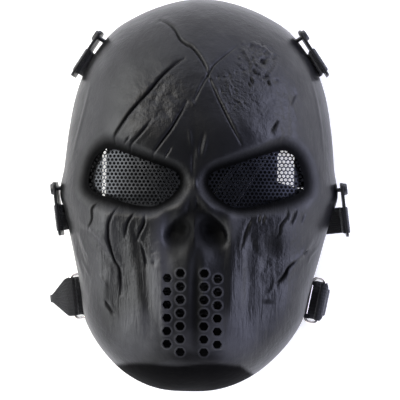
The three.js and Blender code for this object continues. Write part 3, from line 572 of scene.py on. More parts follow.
DENTS += [(263, 60, 5.5, 5.0, 0, 0.7), (263, 60, 2.8, 2.6, 0, -2.2)]
DENTS += pocks(3, 30, (258, 62), (19, 19), (1.2, 2.8), (-1.1, 0.7))
DENTS += pocks(5, 34, (236, 92), (17, 20), (0.9, 1.7), (-0.5, 0.4))
DENTS += pocks(8, 12, (165, 95), (20, 22), (2.5, 5.0), (-0.7, 0.4))
DENTS += pocks(9, 10, (282, 112), (16, 26), (2.5, 5.0), (-0.6, 0.4))
DENTS += pocks(11, 8, (157, 250), (7, 22), (1.5, 3.0), (-0.5, 0.4))

NOSE = [
    (191, 203),
    (195.5, 201.5),
    (200, 203),
    (207, 211),
    (216, 222),
    (224, 233),
    (225, 241),
    (221, 251),
    (212, 260),
    (195.5, 266),
    (179, 260),
    (170, 251),
    (166, 241),
    (167, 233),
    (175, 222),
    (184, 211),
]


# %% Height of the carving
def vent_places():
    places = []
    for across, drop, count in VENT_COLUMNS:
        for i in range(count):
            y = VENT_TOP - drop - i * VENT_PITCH
            places += [(across, y), (-across, y)]
    return places


VENTS = vent_places()


def carving(base):
    """What the strokes, dents and lips add at points of the plain shell, in millimetres."""
    x, y = base[:, 0], base[:, 1]
    seen = front_view(base)
    u, v = seen[:, 0], seen[:, 1]
    total = np.zeros(len(base))
    for points, half, depth, right, left in CRACKS:
        near = near_stroke(points, u, v, 6 * half)
        d, share = stroke_distance(points, u[near], v[near])
        taper = np.sqrt(np.clip(np.sin(np.pi * np.clip(share, 0.02, 0.98)), 0, 1))
        cut = -1.3 * depth * np.exp(-np.abs(d / (0.8 * half)) ** 1.6)
        lips = right * np.exp(-(((d - 2 * half) / (1.4 * half)) ** 2))
        lips += left * np.exp(-(((d + 2 * half) / (1.4 * half)) ** 2))
        total[near] += taper * (cut + lips)
    for points, half, high in FOLDS:
        near = near_stroke(points, u, v, 4 * half)
        d, share = stroke_distance(points, u[near], v[near])
        taper = np.sin(np.pi * np.clip(share, 0.03, 0.97)) ** 0.7
        total[near] += taper * high * np.exp(-((d / half) ** 2))
    for cu, cv, ru, rv, turn, high in DENTS:
        c, s = math.cos(math.radians(turn)), math.sin(math.radians(turn))
        du, dv = u - cu, v - cv
        total += high * np.exp(-(((du * c + dv * s) / ru) ** 2) - ((dv * c - du * s) / rv) ** 2)
    nose = ring_distance(closed_spline(NOSE, 64), u, v)
    fade = smooth_step((260 - v) / 30)
    total -= 3.2 * fade * smooth_step(0.5 - nose / 6)
    for side in (-1, 1):
        edge = ring_distance(eye_ring(side, count=48), x, y)
        reach = 6.5 + 3.0 * smooth_step((np.abs(x) - EYE_ACROSS) / 25)
        total -= 4.0 * smooth_step(1 - edge / (1.3 * reach))
    for vx, vy in VENTS:
        d = np.hypot(x - vx, y - vy)
        total += 0.16 * np.exp(-(((d - VENT_HOLE / 2 - 0.3) / 0.6) ** 2))
    return total


# %% [markdown]
# The mesh of the shell
#
# The outer face is a disc of triangles, rings of 6, 12, 18 and so on, that the table carries onto
# the shell. Cracks two millimetres wide need finer cells than a smooth cheek does, so the disc is
# subdivided twice where a stroke, a vent or an eye is near before anything is lifted. The inner
# face is coarser, sunk by the wall's thickness, and a strip of triangles joins the two at the rim.

# %% Rings of triangles
RINGS = 108
INNER_RINGS = RINGS // 2


def disc(rings):
    """Points and triangles of a unit disc. The last 6 * rings points are its edge."""
    points, starts = [(0.0, 0.0)], [0]
    for ring in range(1, rings + 1):
        starts.append(len(points))
        turns = np.arange(6 * ring) * np.pi / (3 * ring)
        points += list(zip(np.cos(turns) * ring / rings, np.sin(turns) * ring / rings))
    faces = []
    for ring in range(1, rings + 1):
        count, inner_count = 6 * ring, 6 * (ring - 1)
        for sector in range(6):
            for i in range(ring):
                a = starts[ring] + (sector * ring + i) % count
                b = starts[ring] + (sector * ring + i + 1) % count
                c = starts[ring - 1] + (sector * (ring - 1) + i) % inner_count if ring > 1 else 0
                faces.append((a, b, c))
                if i < ring - 1:
                    d = starts[ring - 1] + (sector * (ring - 1) + i + 1) % inner_count
                    faces.append((b, d, c))
    return np.array(points), faces


def detail_distance(base, strokes):
    """Distance to the nearest of those strokes, small dents, vents and eyes, in view units."""
    seen = front_view(base)
    u, v = seen[:, 0], seen[:, 1]
    nearest = np.full(len(base), 1e9)
    for points, *_ in strokes:
        near = near_stroke(points, u, v, 12)
        d, _ = stroke_distance(points, u[near], v[near])
        nearest[near] = np.minimum(nearest[near], np.abs(d))
    for cu, cv, ru, rv, _, high in DENTS:
        if max(ru, rv) < 3:
            nearest = np.minimum(nearest, np.abs(np.hypot(u - cu, v - cv) - 1))
    for side in (-1, 1):
        edge = ring_distance(eye_ring(side, count=48), base[:, 0], base[:, 1])
        nearest = np.minimum(nearest, np.abs(edge - 1.5))
    for vx, vy in VENTS:
        nearest = np.minimum(nearest, np.abs(np.hypot(base[:, 0] - vx, base[:, 1] - vy) - 3.2) * 1.5)
    return nearest


def refined_disc(rings, passes):
    """The disc, with its triangles split where a detail of each pass is within its reach."""
    points, faces = disc(rings)
    bm = bmesh.new()
    made = [bm.verts.new((x, y, 0)) for x, y in points]
    for f in faces:
        bm.faces.new([made[i] for i in f])
    for strokes, reach in passes:
        bm.edges.ensure_lookup_table()
        ends = np.array([[e.verts[0].co[:2], e.verts[1].co[:2]] for e in bm.edges], dtype=float)
        middles = ends.mean(axis=1)
        close = (detail_distance(on_shell(middles), strokes) < reach) & (np.hypot(*middles.T) < 0.97)
        chosen = [bm.edges[i] for i in np.nonzero(close)[0]]
        bmesh.ops.subdivide_edges(bm, edges=chosen, cuts=1)
        bmesh.ops.triangulate(bm, faces=[f for f in bm.faces if len(f.verts) > 3])
    bm.verts.index_update()
    plan = np.array([v.co[:2] for v in bm.verts])
    triangles = [tuple(v.index for v in f.verts) for f in bm.faces]
    bm.free()
    return plan, triangles


def vertex_normals(points, faces):
    f = np.array(faces)
    flat = np.cross(points[f[:, 1]] - points[f[:, 0]], points[f[:, 2]] - points[f[:, 0]])
    total = np.zeros(points.shape)
    for k in range(3):
        np.add.at(total, f[:, k], flat)
    return total / np.linalg.norm(total, axis=1)[:, None]


# %% The closed shell
lo, hi = (np.array(c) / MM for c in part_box("shell"))
SHIFT = np.array([(lo[0] + hi[0]) / 2, hi[1] - HALF_H, 0.0])
NARROW_FOLD = 3  # half width in view units under which a fold needs finer cells


def make_shell():
    narrow = [fold for fold in FOLDS if fold[1] < NARROW_FOLD]
    plan, faces = refined_disc(RINGS, [(CRACKS + narrow, 3.0), (CRACKS, 1.8)])
    base = on_shell(plan)
    normals = vertex_normals(base, faces)
    outer = base + normals * carving(base)[:, None]
    rim_start = 1 + 3 * RINGS * (RINGS - 1)

    inner_plan, inner_faces = disc(INNER_RINGS)
    inner_base = on_shell(inner_plan)
    sink = SHELL_WALL + np.maximum(0, -carving(inner_base) - 0.8)
    inner = inner_base - vertex_normals(inner_base, inner_faces) * sink[:, None]
    inner_rim = 1 + 3 * INNER_RINGS * (INNER_RINGS - 1)

    shift = len(outer)
    faces = list(faces) + [(a + shift, c + shift, b + shift) for a, b, c in inner_faces]
    count, inner_count = 6 * RINGS, 6 * INNER_RINGS
    for i in range(inner_count):
        a, b, c = (rim_start + (2 * i + k) % count for k in range(3))
        d, e = (shift + inner_rim + (i + k) % inner_count for k in range(2))
        faces += [(b, a, d), (b, d, e), (c, b, e)]
    points = (np.vstack([outer, inner]) + SHIFT) * MM
    return mesh_object("skull_shell", points, faces)


def rim_point(degrees, side):
    """A point of the outline, with the ways along the rim to the crown and out of the wall."""

    def at(turn):
        reach, a = column(REACH, np.array([turn]))[0], math.radians(turn)
        y = reach * math.sin(a) * HALF_H
        return np.array([side * reach * math.cos(a) * HALF_W - sway(y), y])

    up = at(degrees + 1) - at(degrees - 1)
    up /= np.linalg.norm(up)
    return at(degrees), up, side * np.array([up[1], -up[0]])


def turned(way, radians):
    c, s = math.cos(radians), math.sin(radians)
    return np.array([c * way[0] - s * way[1], s * way[0] + c * way[1]])


WEBBING_WIDTH = 18.0
WEBBING = 1.4
GAP = 0.4
BUCKLE_LONG = 37.0
BUCKLE_TALL = 24.0
BUCKLE_PLATE = 1.6
BUCKLE_BAR = 3.2
BUCKLE_OFF = 2.4
BUCKLE_LIFT = 6.0
STUD_END = 4.6
STUD_STEM = 3.0
STRAP_LAP = 22.0
INNER_WEB = BUCKLE_OFF - GAP - WEBBING
OUTER_WEB = BUCKLE_OFF + BUCKLE_PLATE + GAP
STUD_ALONG = BUCKLE_LONG / 2 - STUD_END
WEB_ALONG = BUCKLE_BAR + WEBBING_WIDTH / 2 - BUCKLE_LONG / 2 + GAP
SLOT_TALL = (BUCKLE_TALL - 3 * BUCKLE_BAR) / 2
RIM_SEARCH = 15  # degrees to both sides of a buckle


class Place:
    """Where a fitting sits: side, the rim's angle, its lean and how far it is set closer."""

    def __init__(self, side, turn, lean=0.0, sink=0.0):
        at, up, out = rim_point(turn, side)
        tilt = math.radians(side * lean)
        self.side, self.up, self.out = side, turned(up, tilt), turned(out, tilt)
        self.at = at + up * STUD_ALONG - self.up * STUD_ALONG - self.out * sink
        heights = []
        for near in np.arange(turn - RIM_SEARCH, turn + RIM_SEARCH + 1):
            p, _, _ = rim_point(near, side)
            if abs((p - at) @ up - WEB_ALONG) < WEBBING_WIDTH / 2:
                heights.append(rim_height(np.array([near]))[0])
        self.rim = min(heights)
        self.low = self.rim + BUCKLE_LIFT

    def point(self, along, out, z):
        return np.array([*(self.at + self.up * along + self.out * out), z])

    def way(self, along, out, z):
        return np.array([*(self.up * along + self.out * out), z])


BUCKLES = {
    "temple_left": Place(-1, 41),
    "temple_right": Place(1, 42),
    "ear_left": Place(-1, -4.5, 10, 2),
    "ear_right": Place(1, -4, 27, 2.7),
}
# The jaw's rings: where, how far the strap's fold reaches past the ring and its tip's width.
JAW = {"left": (Place(-1, -33), 15.0, 0.2), "right": (Place(1, -33), 3.2, 0.7)}
JAW_WEBBING = 27.0
JAW_POINT = 12.0
RING_PLAY = 1.0

shell = make_shell()
print("shell before cutting:", len(shell.data.polygons), "triangles")

# %% [markdown]
# Holes and lugs
#
# In the mould the eye openings and the vents are trimmed through after forming. Here a closed
# cutter for each is joined into one object and taken out of the shell with a Boolean, which
# leaves a real wall inside every hole. Two small eyes on the wall at each side of the jaw hold
# the wire rings, and are joined on in the same way.


# %% Cutters
def prism_parts(ring, low, high):
    """Points and faces of an upright prism over a closed ring."""
    n = len(ring)
    points = [(x, y, low) for x, y in ring] + [(x, y, high) for x, y in ring]
    faces = [tuple(range(n))[::-1], tuple(range(n, 2 * n))]
    faces += [(i, (i + 1) % n, n + (i + 1) % n, n + i) for i in range(n)]
    return points, faces


def rod_parts(start, end, radius, sides=20):
    """Points and faces of a rod between two points."""
    axis = (end - start) / np.linalg.norm(end - start)
    a = np.cross(axis, [0, 0, 1] if abs(axis[2]) < 0.9 else [1, 0, 0])
    a /= np.linalg.norm(a)
    b = np.cross(axis, a)
    turns = np.arange(sides) * 2 * np.pi / sides
    ring = [radius * (math.cos(t) * a + math.sin(t) * b) for t in turns]
    points = [start + r for r in ring] + [end + r for r in ring]
    faces = [tuple(range(sides))[::-1], tuple(range(sides, 2 * sides))]
    faces += [(i, (i + 1) % sides, sides + (i + 1) % sides, sides + i) for i in range(sides)]
    return points, faces


def block_parts(place, along, out, z):
    """Points and faces of a block between two values along the rim, out of the wall and up."""
    corners = [place.point(a, o, h) for h in z for o in out for a in along]
    return corners, [(0, 1, 3, 2), (4, 6, 7, 5), (0, 4, 5, 1), (2, 3, 7, 6), (0, 2, 6, 4), (1, 5, 7, 3)]


def joined_object(name, parts):
    points, faces = [], []
    for p, f in parts:
        faces += [tuple(i + len(points) for i in face) for face in f]
        points += [np.array(q, dtype=float) for q in p]
    return outward(mesh_object(name, (np.array(points) + SHIFT) * MM, faces, smooth=False))


def boolean(obj, other, operation):
    """Joins or cuts obj with other, which is then removed."""
    modifier = obj.modifiers.new("cut", "BOOLEAN")
    modifier.object = other
    modifier.operation = operation
    modifier.solver = "MANIFOLD"
    bpy.context.view_layer.update()
    evaluated = obj.evaluated_get(bpy.context.evaluated_depsgraph_get())
    mesh = bpy.data.meshes.new_from_object(evaluated)
    obj.modifiers.remove(modifier)
    old, obj.data = obj.data, mesh
    bpy.data.meshes.remove(old)
    mesh.name = obj.name
    bpy.data.objects.remove(other)


CUT_LOW, CUT_HIGH = 20, 150  # heights between which an upright cutter passes the shell
TRIM_LOW = 10  # and a lower one for what is trimmed to the eye's outline


def hexagon(x, y, across):
    turns = np.arange(6) * np.pi / 3
    return np.stack([x + across / 2 * np.cos(turns), y + across / 2 * np.sin(turns)], axis=1)


RING_WIRE = 2.0
RING_CORNER = 2.6
RING_OPEN = JAW_WEBBING + 2 * RING_PLAY
RING_DEEP = 10.5
RING_UP = PASSAGE + 3
LUG_LONG, LUG_TALL, LUG_EDGE = 3.0, 5.0, 1.2
RING_OUT = LUG_EDGE / 2 + GAP + RING_WIRE / 2
RING_FAR = RING_OUT + RING_DEEP - RING_WIRE

lugs, bars = [], []
for place, _, _ in JAW.values():
    for end in (-1, 1):
        middle = end * (RING_OPEN - LUG_LONG - 6 * GAP) / 2
        lugs.append(
            block_parts(
                place,
                (middle - LUG_LONG / 2, middle + LUG_LONG / 2),
                (-SHELL_WALL / 2, RING_OUT + RING_WIRE / 2 + GAP + LUG_EDGE),
                (RING_UP - LUG_TALL / 2, RING_UP + LUG_TALL / 2),
            )
        )
    ends = [place.point(a, RING_OUT, RING_UP) for a in (-RING_OPEN / 2, RING_OPEN / 2)]
    bars.append(rod_parts(*ends, RING_WIRE / 2 + GAP))
boolean(shell, joined_object("lugs", lugs), "UNION")

cutters = [prism_parts(eye_ring(side), CUT_LOW, CUT_HIGH) for side in (-1, 1)]
cutters += [prism_parts(hexagon(x, y, VENT_HOLE), CUT_LOW, CUT_HIGH) for x, y in VENTS]
for place in BUCKLES.values():
    z = place.low + BUCKLE_TALL / 2
    ends = [place.point(STUD_ALONG, out, z) for out in (-12, 3)]
    cutters.append(rod_parts(*ends, STUD_STEM / 2 + GAP))
boolean(shell, joined_object("cutters", cutters + bars), "DIFFERENCE")
sharp_edges(shell, 38)
print("shell:", len(shell.data.polygons), "faces after cutting")

# %% [markdown]
# Eye screens
#
# Real screens of this kind are punched from thin steel and pressed over a former, so the rows of
# round holes follow the dish. The sheet is a height field between two surfaces, trimmed to the
# eye's outline with a margin behind the shell. Geometry Nodes set out one pin for each hole on a
# staggered grid, the pins are made real, and one Boolean punches them all.


# %% A tree for the pins
def geometry_tree(name, sockets):
    """An empty tree with those inputs and a geometry output, and its two end nodes."""
    tree = bpy.data.node_groups.new(name, "GeometryNodeTree")
    tree.interface.new_socket("Geometry", in_out="OUTPUT", socket_type="NodeSocketGeometry")
    for label, kind, value in sockets:
        made = tree.interface.new_socket(label, in_out="INPUT", socket_type=kind)
        if value is not None:
            made.default_value = value
    return tree, tree.nodes.new("NodeGroupInput"), tree.nodes.new("NodeGroupOutput")


def run_tree(obj, tree, values):
    """Runs a tree on an object, with its inputs given by name, and keeps the result as its mesh."""
    modifier = obj.modifiers.new("nodes", "NODES")
    modifier.node_group = tree
    for item in tree.interface.items_tree:
        if item.in_out == "INPUT" and item.name in values:
            modifier[item.identifier] = values[item.name]
    bpy.context.view_layer.update()
    evaluated = obj.evaluated_get(bpy.context.evaluated_depsgraph_get())
    mesh = bpy.data.meshes.new_from_object(evaluated)
    obj.modifiers.remove(modifier)
    old, obj.data = obj.data, mesh
    bpy.data.meshes.remove(old)
    return obj


PIN_TREE, pins_in, pins_out = geometry_tree(
    "Pins",
    [
        ("Points", "NodeSocketGeometry", None),
        ("Radius", "NodeSocketFloat", 0.001),
        ("Length", "NodeSocketFloat", 0.01),
        ("Sides", "NodeSocketInt", 12),
    ],
)
pin = add_node(
    PIN_TREE,
    "GeometryNodeMeshCylinder",
    {
        "Vertices": pins_in.outputs["Sides"],
        "Radius": pins_in.outputs["Radius"],
        "Depth": pins_in.outputs["Length"],
    },
    fill_type="NGON",
)
placed = add_node(
    PIN_TREE,
    "GeometryNodeInstanceOnPoints",
    {"Points": pins_in.outputs["Points"], "Instance": pin.outputs["Mesh"]},
)
real = add_node(PIN_TREE, "GeometryNodeRealizeInstances", {0: placed.outputs["Instances"]})
PIN_TREE.links.new(real.outputs[0], pins_out.inputs["Geometry"])

# %% The two screens
SCREEN_SHEET = 0.8
SCREEN_DROP = 10.0
SCREEN_LAP = 3.0
SCREEN_PITCH = 2.75
SCREEN_HOLE = 2.05
SCREEN_EDGE = 1.2  # of plain steel outside the last holes


def dome_height(x, y):
    """The plain dome over points of the face, without the relief."""
    across, up = (x + sway(y)) / HALF_W, y / HALF_H
    degrees = side_angle(np.arctan2(up, across))
    base = rim_height(degrees) + column(WALL, degrees) * WALL_TALL
    share = np.hypot(across, up) / column(REACH, degrees)
    lift = np.sqrt(np.maximum(0, 1 - share ** column(FULLNESS, degrees)))
    return base + (FACE_DEPTH - base) * lift


def height_sheet(name, side, margin, top, bottom, cells=(36, 24)):
    """A closed sheet between two heights over the rectangle round one eye."""
    ring = eye_ring(side, margin)
    (x0, y0), (x1, y1) = ring.min(axis=0) - 1, ring.max(axis=0) + 1
    nx, ny = cells
    gx, gy = np.meshgrid(np.linspace(x0, x1, nx + 1), np.linspace(y0, y1, ny + 1))
    flat = np.stack([gx.ravel(), gy.ravel()], axis=1)
    points = np.vstack([np.column_stack([flat, h(flat[:, 0], flat[:, 1])]) for h in (top, bottom)])
    shift = (nx + 1) * (ny + 1)
    faces = []
    for j in range(ny):
        for i in range(nx):
            a, b = j * (nx + 1) + i, (j + 1) * (nx + 1) + i
            faces += [(a, a + 1, b + 1, b), (shift + a, shift + b, shift + b + 1, shift + a + 1)]
    rim = [*range(nx), *range(nx, shift - 1, nx + 1), *range(shift - 1, shift - 1 - nx, -1)]
    rim += [*range(shift - 1 - nx, 0, -(nx + 1))]
    faces += [(b, a, shift + a, shift + b) for a, b in zip(rim, rim[1:] + rim[:1])]
    return outward(mesh_object(name, (points + SHIFT) * MM, faces, smooth=False))


def screen_height(x, y):
    return dome_height(x, y) - SCREEN_DROP


def trimmed_sheet(name, side, margin, top, bottom):
    """A sheet between two heights, trimmed to the eye's outline with that margin."""
    sheet = height_sheet(name, side, margin, top, bottom)
    trim = joined_object("trim", [prism_parts(eye_ring(side, margin), TRIM_LOW, CUT_HIGH)])
    boolean(sheet, trim, "INTERSECT")
    return sheet


def eye_screen(side):
    name = "punched_screen_left" if side < 0 else "punched_screen_right"
    screen = trimmed_sheet(
        name, side, SCREEN_LAP, screen_height, lambda x, y: screen_height(x, y) - SCREEN_SHEET
    )
    ring = eye_ring(side)
    row_step = SCREEN_PITCH * math.sin(math.pi / 3)
    rows = np.arange(-12, 13)
    places = []
    for row in rows:
        for i in range(-16, 17):
            x = side * EYE_ACROSS + (i + (row % 2) / 2) * SCREEN_PITCH
            places.append((x, EYE_UP + row * row_step))
    places = np.array(places)
    inside = ring_distance(ring, places[:, 0], places[:, 1]) < SCREEN_EDGE - SCREEN_HOLE / 2
    places = places[inside]
    heights = screen_height(places[:, 0], places[:, 1])
    pins = mesh_object("pins", (np.column_stack([places, heights]) + SHIFT) * MM, [], smooth=False)
    run_tree(pins, PIN_TREE, {"Radius": SCREEN_HOLE / 2 * MM, "Length": 12 * MM})
    boolean(screen, pins, "DIFFERENCE")
    sharp_edges(screen, 30)
    print(name, "has", len(places), "holes and", len(screen.data.polygons), "faces")
    return screen


screens = {}
for side, node in ((-1, "eye_screen_left"), (1, "eye_screen_right")):
    seat = trimmed_sheet(
        "seat", side, SCREEN_LAP + GAP, lambda x, y: screen_height(x, y) + GAP, lambda x, y: 0 * x + CUT_LOW
    )
    boolean(shell, seat, "DIFFERENCE")
    screens[node] = eye_screen(side)
    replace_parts(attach(screens[node], "root"), node)
sharp_edges(shell, 38)
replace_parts(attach(shell, "root"), "shell")

# %% [markdown]
# Webbing and rings
#
# The straps are flat elastic webbing, knitted with ribs along its length. Each one is a band swept
# along the way that it takes: the free end outside the buckle, in through the upper slot, down the
# wall and under the rim to the floor. The ribs are real, twelve across the band, because they
# catch the light as fine lines, and the knit between them is left to a bump, with painted shade
# darkening its colour between the loops.


# %% Ways of the straps
def through_buckle(place):
    """Stations of webbing through one buckle, as points with the way across the band."""
    outer, inner = OUTER_WEB + WEBBING / 2, INNER_WEB + WEBBING / 2
    bend = (outer - inner) / 2
    slot = place.low + (BUCKLE_TALL + BUCKLE_BAR + SLOT_TALL) / 2
    turn = slot - bend / 2
    way = [(outer, place.low + BUCKLE_BAR), (outer, turn)]
    for a in np.linspace(0.2, 1.8, 9) * math.pi / 2:
        way.append((inner + bend + bend * math.cos(a), turn + bend * math.sin(a)))
    way += [(inner, turn), (inner, place.low), (inner, place.rim - WEBBING)]
    way.append((inner - WEBBING / 3, place.rim - 1.5 * WEBBING))
    way.append((inner - WEBBING, max(place.rim - 2 * WEBBING, WEBBING / 2)))
    drop = max(place.rim - PASSAGE, 0)
    if drop > 0:
        way.append((-SHELL_WALL - drop / 2, WEBBING / 2 + drop / 2))
    way.append((-SHELL_WALL - drop - 2 * WEBBING, WEBBING / 2))
    return [(place.point(WEB_ALONG, out, z), place.way(1, 0, 0)) for out, z in way]


def ear_way():
    return through_buckle(BUCKLES["ear_left"]) + through_buckle(BUCKLES["ear_right"])[::-1]


def temple_way(place):
    stations = through_buckle(place)
    start = stations[-1][0]
    side = np.sign(place.at[0])
    junction = BUCKLES["ear_left"].point(WEB_ALONG, 0, 0)[1]
    run = np.array([side * (WEBBING_WIDTH / 2 + GAP), junction, WEBBING / 2]) - start
    length = np.linalg.norm(run)
    run /= length
    across = np.array([-side * run[1], side * run[0], 0])
    raised = WEBBING * 1.5 + GAP
    for reach, z in (
        (WEBBING_WIDTH, WEBBING / 2),
        (length - STRAP_LAP - WEBBING_WIDTH, WEBBING / 2),
        (length - STRAP_LAP, raised),
        (length, raised),
    ):
        p = start + run * reach
        stations.append((np.array([p[0], p[1], z]), across))
    return stations


def jaw_way():
    def half(place, pad, pinch):
        reach = RING_WIRE / 2 + GAP + WEBBING / 2
        bevel = reach * (1 - math.tan(math.pi / 8))
        far = RING_FAR + RING_WIRE / 2 + pad
        top = RING_UP + reach
        fold = (top + WEBBING / 2) / 2
        shoulder = max(RING_FAR + reach, far - JAW_POINT)
        way = [
            (RING_FAR - reach, WEBBING * 1.5 + GAP, 1),
            (RING_FAR - reach, top - bevel, 1),
            (RING_FAR - reach + bevel, top, 1),
            (shoulder, top, 1),
            (far - WEBBING, fold + WEBBING, pinch),
            (far, fold, pinch),
            (far - WEBBING, WEBBING / 2, pinch),
            (shoulder, WEBBING / 2, 1),
            (-SHELL_WALL, WEBBING / 2, 1),
        ]
        wide = JAW_WEBBING / WEBBING_WIDTH
        return [(place.point(0, out, z), place.way(width * wide, 0, 0)) for out, z, width in way]

    return half(*JAW["left"]) + half(*JAW["right"])[::-1]


def softened(stations, bend):
    """The same way with its corners rounded off."""
    made = [stations[0]]
    for (p0, a0), (p1, a1), (p2, a2) in zip(stations, stations[1:], stations[2:]):
        before, after = np.linalg.norm(p1 - p0), np.linalg.norm(p2 - p1)
        r = min(bend, 0.48 * before, 0.48 * after)
        s0, s2 = r / before, r / after
        first = (p1 + (p0 - p1) * s0, a1 + (a0 - a1) * s0)
        last = (p1 + (p2 - p1) * s2, a1 + (a2 - a1) * s2)
        starts = [first, (p1, a1), last]
        for t in (0, 0.25, 0.5, 0.75, 1):
            w = ((1 - t) ** 2, 2 * t * (1 - t), t * t)
            made.append(tuple(sum(w[k] * starts[k][i] for k in range(3)) for i in range(2)))
    return made + [stations[-1]]


RIBS = 12
RIB_DEEP = 0.16
WEB_STEP = 2.0


def webbing(name, stations, bend=2.5):
    """A ribbed band along a way, with the length and the place across it in millimetres as UV."""
    way = softened(stations, bend)
    points, acrosses = [way[0][0]], [way[0][1]]
    for (p0, a0), (p1, a1) in zip(way, way[1:]):
        pieces = max(1, math.ceil(np.linalg.norm(p1 - p0) / WEB_STEP))
        for k in range(1, pieces + 1):
            points.append(p0 + (p1 - p0) * k / pieces)
            acrosses.append(a0 + (a1 - a0) * k / pieces)
    points, acrosses = np.array(points), np.array(acrosses)
    keep = np.r_[True, np.linalg.norm(np.diff(points, axis=0), axis=1) > 0.05]
    points, acrosses = points[keep], acrosses[keep]
    tangent = np.gradient(points, axis=0)
    facing = np.cross(tangent, acrosses)
    facing /= np.linalg.norm(facing, axis=1)[:, None]
    lengths = np.r_[0, np.cumsum(np.linalg.norm(np.diff(points, axis=0), axis=1))]
    q = np.linspace(-1, 1, 4 * RIBS + 1)
    thick = WEBBING / 2 - RIB_DEEP * np.abs(np.sin(np.pi * RIBS * (q + 1) / 2 + np.pi / 2)) ** 4
    thick = thick * np.sqrt(np.clip(1.02 - q**16, 0, 1))
    ring = np.r_[np.column_stack([q, thick]), np.column_stack([q, -thick])[::-1]]
    n = len(ring)
    vertices = (
        points[:, None, :]
        + acrosses[:, None, :] * ring[None, :, :1] * WEBBING_WIDTH / 2
        + facing[:, None, :] * ring[None, :, 1:]
    ).reshape(-1, 3)
    faces, uvs = [tuple(range(n))[::-1]], [[(0, 0)] * n]
    for i in range(len(points) - 1):
        for k in range(n):
            m = (k + 1) % n
            faces.append((i * n + k, i * n + m, (i + 1) * n + m, (i + 1) * n + k))
            here, there = ring[k, 0] * WEBBING_WIDTH / 2, ring[m, 0] * WEBBING_WIDTH / 2
            start, end = lengths[i], lengths[i + 1]
            uvs.append([(start, here), (start, there), (end, there), (end, here)])
    last = (len(points) - 1) * n
    faces.append(tuple(range(last, last + n)))
    uvs.append([(lengths[-1], 0)] * n)
    obj = mesh_object(name, (vertices + SHIFT) * MM, faces)
    layer = obj.data.uv_layers.new(name="web")
    layer.data.foreach_set("uv", np.array([c for face in uvs for c in face]).ravel())
    outward(obj)
    sharp_edges(obj, 50)
    print(name, "is", round(float(lengths[-1])), "mm long")
    return obj


straps = {
    "strap_ear": webbing("webbing_ear", ear_way()),
    "strap_temple_left": webbing("webbing_temple_left", temple_way(BUCKLES["temple_left"])),
    "strap_temple_right": webbing("webbing_temple_right", temple_way(BUCKLES["temple_right"])),
    "strap_jaw": webbing("webbing_jaw", jaw_way(), 1.5),
}
for node, strap in straps.items():
    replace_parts(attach(strap, "root"), node)


# %% Wire rings
def wire_ring(name, place, sides=16):
    """A closed ring of round wire with rounded corners, level beside the wall."""
    half, deep = (RING_OPEN + RING_WIRE) / 2, (RING_FAR - RING_OUT) / 2
    soft = RING_CORNER
    centre = []
    for sx, sy, first in ((1, 1, 0), (-1, 1, 90), (-1, -1, 180), (1, -1, 270)):
        for a in np.radians(first + np.linspace(0, 90, 8)):
            along, out = sx * (half - soft) + soft * math.cos(a), sy * (deep - soft) + soft * math.sin(a)
            centre.append((along, out))
    middle = (RING_OUT + RING_FAR) / 2
    line = np.array([place.point(along, middle + out, RING_UP) for along, out in centre])
    tangent = np.roll(line, -1, axis=0) - np.roll(line, 1, axis=0)
    tangent /= np.linalg.norm(tangent, axis=1)[:, None]
    level = np.cross(tangent, [0, 0, 1])
    points, faces = [], []
    for p, out in zip(line, level):
        for k in range(sides):
            a = 2 * math.pi * k / sides
            points.append(p + RING_WIRE / 2 * (math.cos(a) * out + math.sin(a) * np.array([0, 0, 1])))
    n = len(line)
    for i in range(n):
        for k in range(sides):
            a, b = i * sides + k, i * sides + (k + 1) % sides
            c, d = (i + 1) % n * sides + (k + 1) % sides, (i + 1) % n * sides + k
            faces.append((a, b, c, d))
    return outward(mesh_object(name, (np.array(points) + SHIFT) * MM, faces))


rings = {}
for side_name, (place, _, _) in JAW.items():
    node = "ring_jaw_" + side_name
    rings[node] = wire_ring("wire_ring_" + side_name, place)
    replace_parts(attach(rings[node], "root"), node)

# %% [markdown]
# Stitches
#
# The temple straps are sewn to the ear strap and the free ends are hemmed, all in black thread.
# Geometry Nodes put one short rounded stitch on each point of a seam and turn it along the seam,
# which a named attribute carries.

# %% A tree for seams
SEAM_TREE, seams_in, seams_out = geometry_tree(
    "Seam",
    [
        ("Points", "NodeSocketGeometry", None),
        ("Stitch length", "NodeSocketFloat", 0.0022),
        ("Thread", "NodeSocketFloat", 0.0005),
        ("Material", "NodeSocketMaterial", None),
    ],
)
way_of = add_node(SEAM_TREE, "GeometryNodeInputNamedAttribute", {"Name": "way"}, data_type="FLOAT_VECTOR")
aligned = add_node(
    SEAM_TREE, "FunctionNodeAlignRotationToVector", {"Vector": way_of.outputs["Attribute"]}, axis="X"
)
bead = add_node(SEAM_TREE, "GeometryNodeMeshUVSphere", {"Segments": 8, "Rings": 6, "Radius": 0.5})
soft = add_node(SEAM_TREE, "GeometryNodeSetShadeSmooth", {0: bead.outputs["Mesh"]})
size = add_node(
    SEAM_TREE,
    "ShaderNodeCombineXYZ",
    {0: seams_in.outputs["Stitch length"], 1: seams_in.outputs["Thread"], 2: seams_in.outputs["Thread"]},
)
sewn = add_node(
    SEAM_TREE,
    "GeometryNodeInstanceOnPoints",
    {
        "Points": seams_in.outputs["Points"],
        "Instance": soft.outputs[0],
        "Rotation": aligned.outputs["Rotation"],
        "Scale": size.outputs[0],
    },
)
made_real = add_node(SEAM_TREE, "GeometryNodeRealizeInstances", {0: sewn.outputs["Instances"]})
coloured = add_node(
    SEAM_TREE,
    "GeometryNodeSetMaterial",
    {"Geometry": made_real.outputs[0], "Material": seams_in.outputs["Material"]},
)
SEAM_TREE.links.new(coloured.outputs[0], seams_out.inputs["Geometry"])

